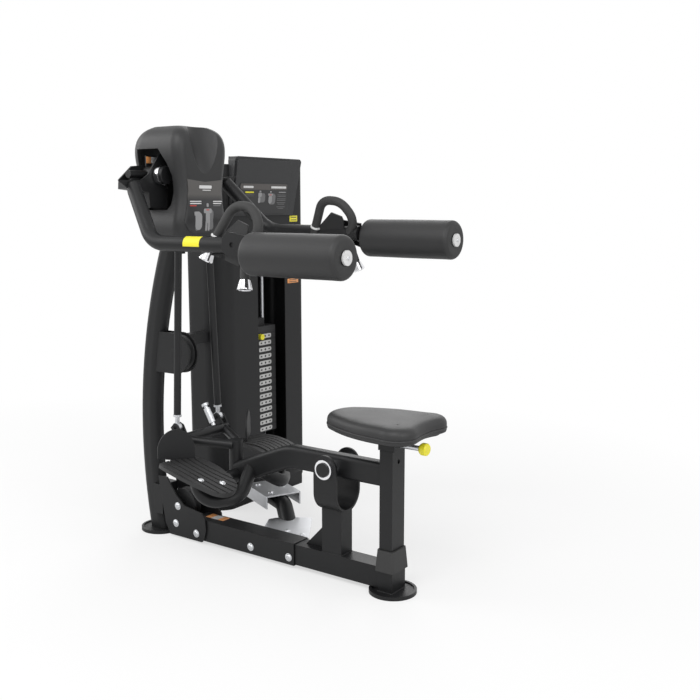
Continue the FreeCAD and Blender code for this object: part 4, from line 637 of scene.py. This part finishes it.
class MACHINE_OT_stack_labels(bpy.types.Operator):
    """Labels on the fixed and the lifted weight plates"""
    bl_idname = "machine.stack_labels"
    bl_label = "Plate labels"

    def execute(self, context):
        low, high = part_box("stack_plates")
        count = round((high.z - low.z) / PLATE_PITCH)
        levels = [low.z + PLATE_PITCH * (index + 0.482) for index in range(count)]
        paper = gloss("label_white", colours().label, 0.4)
        mark = gloss("label_mark", (0.03, 0.03, 0.032), 0.5)
        plate_labels("plate_labels", "frame", levels, paper, mark)
        plate_labels("lifted_labels", "stack_lift", [levels[-1] + PLATE_PITCH], paper, mark)
        return {"FINISHED"}


# Printed film. Rows are (across, up, wide, high, shade), in shares of the film's width and height.
HEAD_PRINT = (
    (0.5, 0.86, 0.3, 0.06, "pale"), (0.53, 0.8, 0.2, 0.016, "pale"),
    (0.26, 0.59, 0.27, 0.02, "pale"), (0.26, 0.55, 0.27, 0.02, "pale"), (0.2, 0.51, 0.15, 0.02, "red"),
    (0.8, 0.59, 0.22, 0.02, "pale"), (0.79, 0.55, 0.2, 0.02, "pale"), (0.78, 0.51, 0.18, 0.02, "grey"),
    (0.29, 0.36, 0.13, 0.08, "light"), (0.33, 0.22, 0.16, 0.34, "light"), (0.29, 0.22, 0.07, 0.36, "grey"),
    (0.64, 0.24, 0.1, 0.38, "grey"), (0.55, 0.52, 0.05, 0.07, "light"), (0.55, 0.41, 0.19, 0.09, "light"),
    (0.55, 0.29, 0.1, 0.22, "light"), (0.52, 0.13, 0.045, 0.2, "light"), (0.58, 0.13, 0.045, 0.2, "light"),
    (0.55, 0.43, 0.07, 0.02, "red"))
CONSOLE_PRINT = (
    (0.5, 0.88, 0.97, 0.19, "band"), (0.17, 0.87, 0.2, 0.07, "pale"), (0.8, 0.87, 0.32, 0.07, "pale"),
    (0.2, 0.7, 0.17, 0.045, "yellow"), (0.21, 0.63, 0.18, 0.018, "mid"), (0.21, 0.58, 0.16, 0.018, "mid"),
    (0.46, 0.52, 0.14, 0.3, "grey"), (0.42, 0.62, 0.07, 0.14, "light"), (0.41, 0.45, 0.045, 0.2, "light"),
    (0.68, 0.48, 0.14, 0.36, "grey"), (0.64, 0.63, 0.1, 0.07, "light"), (0.64, 0.47, 0.07, 0.28, "light"),
    (0.64, 0.72, 0.035, 0.05, "light"), (0.42, 0.73, 0.035, 0.05, "light"), (0.64, 0.62, 0.05, 0.02, "red"),
    (0.89, 0.71, 0.15, 0.03, "light"), (0.88, 0.62, 0.18, 0.018, "grey"), (0.88, 0.57, 0.18, 0.018, "grey"),
    (0.88, 0.49, 0.18, 0.018, "grey"), (0.88, 0.44, 0.18, 0.018, "grey"), (0.88, 0.36, 0.18, 0.018, "grey"),
    (0.88, 0.31, 0.14, 0.018, "grey"), (0.88, 0.22, 0.18, 0.018, "grey"), (0.88, 0.17, 0.12, 0.018, "grey"))


class MACHINE_OT_placards(bpy.types.Operator):
    """Generic bars and blocks printed on the head placard and the console placard"""
    bl_idname = "machine.placards"
    bl_label = "Placards"

    def execute(self, context):
        inks = {"band": ((0.09, 0.082, 0.078), 1), "mid": ((0.1, 0.1, 0.104), 2), "grey": ((0.15, 0.15, 0.153), 2),
                "light": ((0.3, 0.3, 0.305), 3), "pale": ((0.7, 0.7, 0.7), 4), "red": ((0.55, 0.06, 0.05), 4),
                "yellow": (tuple(colours().yellow), 4)}
        for node, rows in (("head_placard", HEAD_PRINT), ("console_placard", CONSOLE_PRINT)):
            low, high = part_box(node)
            wide, tall = high.y - low.y, high.z - low.z
            surface = surface_of(node)
            for ink, (colour, layer) in inks.items():
                chosen = [row for row in rows if row[4] == ink]
                if not chosen:
                    continue
                mesh = bmesh.new()
                for across, up, broad, height, _ in chosen:
                    draped_tile(mesh, surface, low.y + wide * across, low.z + tall * up, wide * broad, tall * height,
                                tall * height * 0.3, sizes().film * layer)
                make_piece(node + "_" + ink, mesh, gloss(node + "_ink_" + ink, colour, 0.35), "frame")
        return {"FINISHED"}


def tube_sticker(name, start, stop, radius, first, last, material, body):
    """A film wrapped round part of a straight tube, between two angles."""
    ahead = (stop - start).normalized()
    across, over = square_to(ahead)
    film = sizes().film
    mesh = bmesh.new()
    steps = 14
    rings = []
    for place in (start, stop):
        for lift in (0.05 * MM, film):
            rings.append([mesh.verts.new(place + (across * math.cos(turn) + over * math.sin(turn)) * (radius + lift))
                          for turn in (first + (last - first) * step / steps for step in range(steps + 1))])
    low_start, top_start, low_stop, top_stop = rings
    for one, other in ((low_start, low_stop), (top_stop, top_start), (top_start, low_start), (low_stop, top_stop)):
        for step in range(steps):
            mesh.faces.new((one[step], one[step + 1], other[step + 1], other[step]))
    for end in (0, steps):
        mesh.faces.new((low_start[end], top_start[end], top_stop[end], low_stop[end]))
    return make_piece(name, mesh, material, body)


# Arm stickers: the ends of the arm tube's straight, where the sticker lies on it and the angles that it covers
ARM_SKIN = 24.15 * MM
STRAIGHT_BACK, STRAIGHT_FRONT = Vector((0.285, -0.270, 1.071)), Vector((0.695, -0.248, 1.071))
STICKER_FROM, STICKER_TO = 147 * MM, 212 * MM
STICKER_TURNS = {LEFT: (-80, 15), RIGHT: (165, 260)}
# Flat stickers in millimetres: the rail's (along, length), the tower's (y, z, width, height), the tag plate's (y, width)
RAIL_STICKERS, RAIL_ASIDE, RAIL_WIDE = {"orange_a": (241, 26), "white": (270, 32), "orange_b": (299, 26)}, 14, 38
TOWER_STICKERS = {"yellow": (697, 1131, 50, 24), "orange": (690, 878, 70, 18)}
TAG_STICKERS, TAG_FACE, TAG_UP, TAG_TALL = {"": (101, 22), "pale_": (79, 20)}, 98 * MM, 1338 * MM, 22


class MACHINE_OT_stickers(bpy.types.Operator):
    """Plain coloured labels on the arm tubes, the rail, the tower and the head frame"""
    bl_idname = "machine.stickers"
    bl_label = "Stickers"

    def execute(self, context):
        yellow = gloss("sticker_yellow", colours().yellow, 0.35)
        orange = gloss("sticker_orange", colours().orange, 0.35)
        white = gloss("sticker_white", (0.6, 0.6, 0.6), 0.35)
        dark = gloss("sticker_bar", (0.05, 0.05, 0.05), 0.4)
        run = (STRAIGHT_FRONT - STRAIGHT_BACK).normalized()
        start, stop = STRAIGHT_BACK + run * STICKER_FROM, STRAIGHT_BACK + run * STICKER_TO
        for side, word in SIDES:
            first, last = (math.radians(turn) for turn in STICKER_TURNS[side])
            tube_sticker("arm_label_" + word, on_arm(start, side), on_arm(stop, side), ARM_SKIN, first, last, yellow,
                         "arm_" + word)
        film = sizes().film
        rail_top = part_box("rail_sleeve")[1].z
        for name, (x, long) in RAIL_STICKERS.items():
            mesh = bmesh.new()
            tile(mesh, Vector((x * MM, RAIL_ASIDE * MM, rail_top)), X, Y, long * MM, RAIL_WIDE * MM, 1 * MM, film)
            make_piece("rail_label_" + name, mesh, white if name == "white" else orange, "frame")
        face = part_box("shroud")[1].x
        for name, (y, z, wide, high) in TOWER_STICKERS.items():
            mesh = bmesh.new()
            tile(mesh, Vector((face, y * MM, z * MM)), Y, Z, wide * MM, high * MM, 1.5 * MM, film)
            make_piece("tower_label_" + name, mesh, yellow if name == "yellow" else orange, "frame")
            bars = bmesh.new()
            for row in (-0.22, 0.22):
                tile(bars, Vector((face + film, y * MM, (z + high * row) * MM)), Y, Z, wide * 0.7 * MM,
                     high * 0.14 * MM, 0.4 * MM, film * 0.5)
            make_piece("tower_label_" + name + "_bars", bars, dark, "frame")
        for side, word in SIDES:
            for name, (out, wide) in TAG_STICKERS.items():
                mesh = bmesh.new()
                tile(mesh, Vector((TAG_FACE, side * out * MM, TAG_UP)), Y, Z, wide * MM, TAG_TALL * MM, 1 * MM, film)
                make_piece("head_label_" + name + word, mesh, white if name else orange, "frame")
        return {"FINISHED"}


# The first straight of the left loop grip, where its collar sits on it and the grip's radius
GRIP_FOOT, GRIP_BEND = Vector((0.507, -0.2452, 1.051)), Vector((0.531, -0.2338, 1.101))
COLLAR_UP, GRIP_SKIN = 46 * MM, 15 * MM


class MACHINE_OT_grip_trim(bpy.types.Operator):
    """White collars where the loop grips leave the arm tubes"""
    bl_idname = "machine.grip_trim"
    bl_label = "Grip trim"

    def execute(self, context):
        white = gloss("collar_white", (0.7, 0.7, 0.7), 0.3)
        profile = [(0.1, 0), (3.4, 0), (3.8, 1.4), (3.8, 5), (2.6, 6.4), (0.1, 6.4)]
        profile = [(GRIP_SKIN + proud * MM, along * MM) for proud, along in profile]
        for side, word in SIDES:
            start, stop = on_arm(GRIP_FOOT, side), on_arm(GRIP_BEND, side)
            ahead = (stop - start).normalized()
            mesh = bmesh.new()
            turned(mesh, profile, start + ahead * COLLAR_UP, ahead, 48)
            make_piece("grip_collar_" + word, mesh, white, "arm_" + word)
        return {"FINISHED"}


# Weld beads: the radius of a ripple, half the upright's width, its back and front, and the front foot's corners
RIPPLE = 2.6 * MM
UPRIGHT_HALF, UPRIGHT_BACK, UPRIGHT_FRONT = 30 * MM, 0.767, 0.843
FOOT_MIDDLE, FOOT_HALF_LONG, FOOT_HALF_WIDE = 1.014, 26 * MM, 38 * MM


def weld_line(mesh, points):
    """A bead of small overlapping ripples along a line of points."""
    for first, last in zip(points, points[1:]):
        span = last - first
        count = max(2, int(span.length / (RIPPLE * 1.1)))
        for index in range(count):
            middle = first + span * ((index + 0.5) / count)
            bmesh.ops.create_icosphere(mesh, subdivisions=2, radius=RIPPLE, matrix=Matrix.Translation(middle))


class MACHINE_OT_welds(bpy.types.Operator):
    """Painted weld beads round the upright's foot and the front foot"""
    bl_idname = "machine.welds"
    bl_label = "Weld beads"

    def execute(self, context):
        mesh = bmesh.new()
        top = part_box("rail_front")[1].z
        for side in (LEFT, RIGHT):
            y = side * UPRIGHT_HALF
            weld_line(mesh, [Vector((UPRIGHT_BACK, y, top)), Vector((UPRIGHT_FRONT, y, top))])
        for x in (UPRIGHT_BACK, UPRIGHT_FRONT):
            weld_line(mesh, [Vector((x, -UPRIGHT_HALF, top)), Vector((x, UPRIGHT_HALF, top))])
        foot_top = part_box("front_post")[0].z
        weld_line(mesh, [Vector((FOOT_MIDDLE + sx * FOOT_HALF_LONG, sy * FOOT_HALF_WIDE, foot_top)) for sx, sy in
                         ((-1, -1), (1, -1), (1, 1), (-1, 1), (-1, -1))])
        make_piece("weld_beads", mesh, powder_coat("weld_paint", colours().paint, 0.42), "frame")
        return {"FINISHED"}


class MACHINE_OT_lift_belt(bpy.types.Operator):
    """Flat belt above the weight plates, attached to the lifted plates"""
    bl_idname = "machine.lift_belt"
    bl_label = "Lift belt"

    def execute(self, context):
        low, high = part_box("lift_belt")
        middle, wide, thick, long = (low + high) / 2, high.y - low.y, high.x - low.x, high.z - low.z
        joints = {joint["name"]: joint for joint in frame["record"]["behaviour"]["joints"]}
        rise = joints["stack_raise"]["range_m"][1]
        steps = 24
        mesh = bmesh.new()
        loft(mesh, [[Vector((middle.x + x, middle.y + y, low.z + long * step / steps))
                     for x, y in rounded_corners(thick, wide, 1.6 * MM)] for step in range(steps + 1)])
        belt = make_piece("belt", mesh, belt_weave("belt_ribs", (0.03, 0.03, 0.03)), "stack_lift")
        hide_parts("lift_belt")
        (long - rise) / long
        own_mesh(belt)
        return {"FINISHED"}


class MACHINE_OT_finishes(bpy.types.Operator):
    """Finishes of the frame's own tubes, plates, casings and machined pieces"""
    bl_idname = "machine.finishes"
    bl_label = "Finishes"

    def execute(self, context):
        tint, parts = colours(), frame["nodes"]
        card_low, card_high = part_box("console_placard")
        made = {
            "black_paint": powder_coat("paint_satin", tint.paint, 0.42),
            "casing_plastic": moulded("casing_grain", tint.casing, 0.46),
            "console_plastic": moulded("console_grain", tint.console, 0.42),
            "rubber_black": rubber("rubber_matt", (0.022, 0.022, 0.022)),
            "tread_rubber": rubber("tread_rubber", tint.tread, 0.6),
            "chrome": plated("chrome_polished", (0.82, 0.82, 0.84), 0.06, (1, 1, 1)),
            "zinc": plated("zinc_brushed", tint.zinc, 0.3, (1, 14, 1)),
            "rod_steel": plated("rod_ground", (0.55, 0.56, 0.58), 0.22, (20, 20, 1)),
            "white_plastic": gloss("cap_white", (0.72, 0.72, 0.72), 0.3),
            "yellow_plastic": gloss("knob_yellow", tint.yellow, 0.3),
            "plate_iron": powder_coat("plate_paint", (0.03, 0.03, 0.031), 0.5, 500.0),
        }
        special = {
            "head_placard": printed_film("film_head", (0.085, 0.08, 0.076), (0.022, 0.022, 0.023), 1.205, 1.225),
            "console_placard": printed_film("film_console", (0.03, 0.03, 0.031), (0.02, 0.02, 0.021),
                                            card_low.z, card_high.z),
            "shroud": powder_coat("shroud_paint", scaled(tint.paint, 1.15), 0.5),
            "toe_shields": powder_coat("shield_paint", scaled(tint.paint, 1.2), 0.5),
        }
        for row in frame["record"]["subparts"]:
            piece = parts[row["node"]]
            material = special.get(row["node"]) or made.get(row["material_slot"])
            if material is None:
                continue
            piece.data.materials.clear()
            piece.data.materials.append(material)
        return {"FINISHED"}


# Lamps: name, place, power, size. They aim at the machine's middle.
LAMPS = (("key", (1.2, -2.6, 3.4), 62, 2.2), ("fill", (4.2, -1.0, 2.6), 46, 2.6),
         ("rim", (-2.6, -1.4, 2.4), 40, 2.0), ("back", (-1.5, 3.6, 3.0), 40, 2.6))
LAMP_AIM = Vector((0.45, 0.15, 0.75))
FLOOR_HALF = 14
# Camera: focal length and frame width in pixels, film width, place, and its angles downwards and round
FOCAL_PIXELS, FRAME_PIXELS, FILM_WIDTH = 947.2, 700, 36.0
CAMERA_PLACE, CAMERA_DOWN, CAMERA_ROUND = (2.525, -2.3623, 1.2), math.radians(8.91), math.radians(35.24)


class MACHINE_OT_stage(bpy.types.Operator):
    """Pale floor, soft lamps and the camera at the photograph's place"""
    bl_idname = "machine.stage"
    bl_label = "Stage"

    def execute(self, context):
        scene = context.scene
        scene.view_settings.view_transform = "Standard"
        mesh = bmesh.new()
        bmesh.ops.create_grid(mesh, x_segments=1, y_segments=1, size=FLOOR_HALF)
        data = bpy.data.meshes.new("floor")
        mesh.to_mesh(data)
        mesh.free()
        floor = bpy.data.objects.new("floor", data)
        scene.collection.objects.link(floor)
        data.materials.append(self.floor_material())
        self.world(scene)
        for name, place, power, size in LAMPS:
            lamp = bpy.data.lights.new(name, "AREA")
            lamp.energy, lamp.size = power, size
            holder = bpy.data.objects.new(name, lamp)
            holder.location = place
            holder.rotation_euler = (LAMP_AIM - Vector(place)).to_track_quat("-Z", "Y").to_euler()
            scene.collection.objects.link(holder)
        lens = bpy.data.cameras.new("camera")
        lens.sensor_fit, lens.sensor_width = "HORIZONTAL", FILM_WIDTH
        lens.lens = FOCAL_PIXELS / FRAME_PIXELS * FILM_WIDTH
        camera = bpy.data.objects.new("camera", lens)
        camera.location = CAMERA_PLACE
        camera.rotation_euler = (math.pi / 2 - CAMERA_DOWN, 0, CAMERA_ROUND)
        scene.collection.objects.link(camera)
        scene.camera = camera
        return {"FINISHED"}

    @staticmethod
    def floor_material():
        shade = Shade("floor_pale")
        path = shade.nodes.new("ShaderNodeLightPath")
        seen = Num(shade, path.outputs["Is Camera Ray"])
        plain = shade.add("ShaderNodeBsdfDiffuse", None, {"Color": (0.9, 0.9, 0.9)})
        white = shade.add("ShaderNodeEmission", None, {"Color": (1.0, 1.0, 1.0), "Strength": 1.0})
        reach = shade.add("ShaderNodeVectorMath", {"operation": "LENGTH"}, {0: shade.place}, output=1)
        far = shade.add("ShaderNodeMapRange", {"clamp": True}, {
            "Value": reach, "From Min": 0.9, "From Max": 2.6, "To Min": 0.6, "To Max": 1.0})
        blend = shade.add("ShaderNodeMixShader", None, {0: seen * far, 1: plain, 2: white})
        output = shade.nodes.new("ShaderNodeOutputMaterial")
        shade.links.new(blend.socket, output.inputs["Surface"])
        return shade.material

    @staticmethod
    def world(scene):
        world = bpy.data.worlds.new("studio")
        scene.world = world
        world.use_nodes = True
        tree = world.node_tree
        tree.nodes.clear()
        path = tree.nodes.new("ShaderNodeLightPath")
        seen = tree.nodes.new("ShaderNodeMath")
        seen.operation = "MAXIMUM"
        tree.links.new(path.outputs["Is Camera Ray"], seen.inputs[0])
        tree.links.new(path.outputs["Is Glossy Ray"], seen.inputs[1])
        soft = tree.nodes.new("ShaderNodeBackground")
        soft.inputs["Color"].default_value = (1, 1, 1, 1)
        soft.inputs["Strength"].default_value = 0.55
        white = tree.nodes.new("ShaderNodeBackground")
        white.inputs["Color"].default_value = (1, 1, 1, 1)
        white.inputs["Strength"].default_value = 1.0
        blend = tree.nodes.new("ShaderNodeMixShader")
        output = tree.nodes.new("ShaderNodeOutputWorld")
        tree.links.new(seen.outputs[0], blend.inputs[0])
        tree.links.new(soft.outputs[0], blend.inputs[1])
        tree.links.new(white.outputs[0], blend.inputs[2])
        tree.links.new(blend.outputs[0], output.inputs["Surface"])


OPERATORS = (MACHINE_OT_seat, MACHINE_OT_rollers, MACHINE_OT_fasteners, MACHINE_OT_stack_labels, MACHINE_OT_placards,
             MACHINE_OT_stickers, MACHINE_OT_grip_trim, MACHINE_OT_welds, MACHINE_OT_lift_belt, MACHINE_OT_finishes,
             MACHINE_OT_stage)


class MACHINE_PT_panel(bpy.types.Panel):
    """Lists the machine's pieces and the stage"""
    bl_label = "Lateral raise machine"
    bl_idname = "MACHINE_PT_panel"
    bl_space_type = "VIEW_3D"
    bl_region_type = "UI"
    bl_category = "Machine"

    def draw(self, context):
        for operator in OPERATORS:
            self.layout.operator(operator.bl_idname)


CLASSES = (MachineSizes, MachineColours, *OPERATORS, MACHINE_PT_panel)


def register():
    for kind in CLASSES:
        bpy.utils.register_class(kind)
    bpy.types.Scene.machine_sizes = PointerProperty(type=MachineSizes)
    bpy.types.Scene.machine_colours = PointerProperty(type=MachineColours)


def unregister():
    del bpy.types.Scene.machine_colours
    del bpy.types.Scene.machine_sizes
    for kind in reversed(CLASSES):
        bpy.utils.unregister_class(kind)


def main():
    register()
    for operator in OPERATORS:
        group, name = operator.bl_idname.split(".")
        getattr(getattr(bpy.ops, group), name)()


if __name__ == "__main__":
    main()
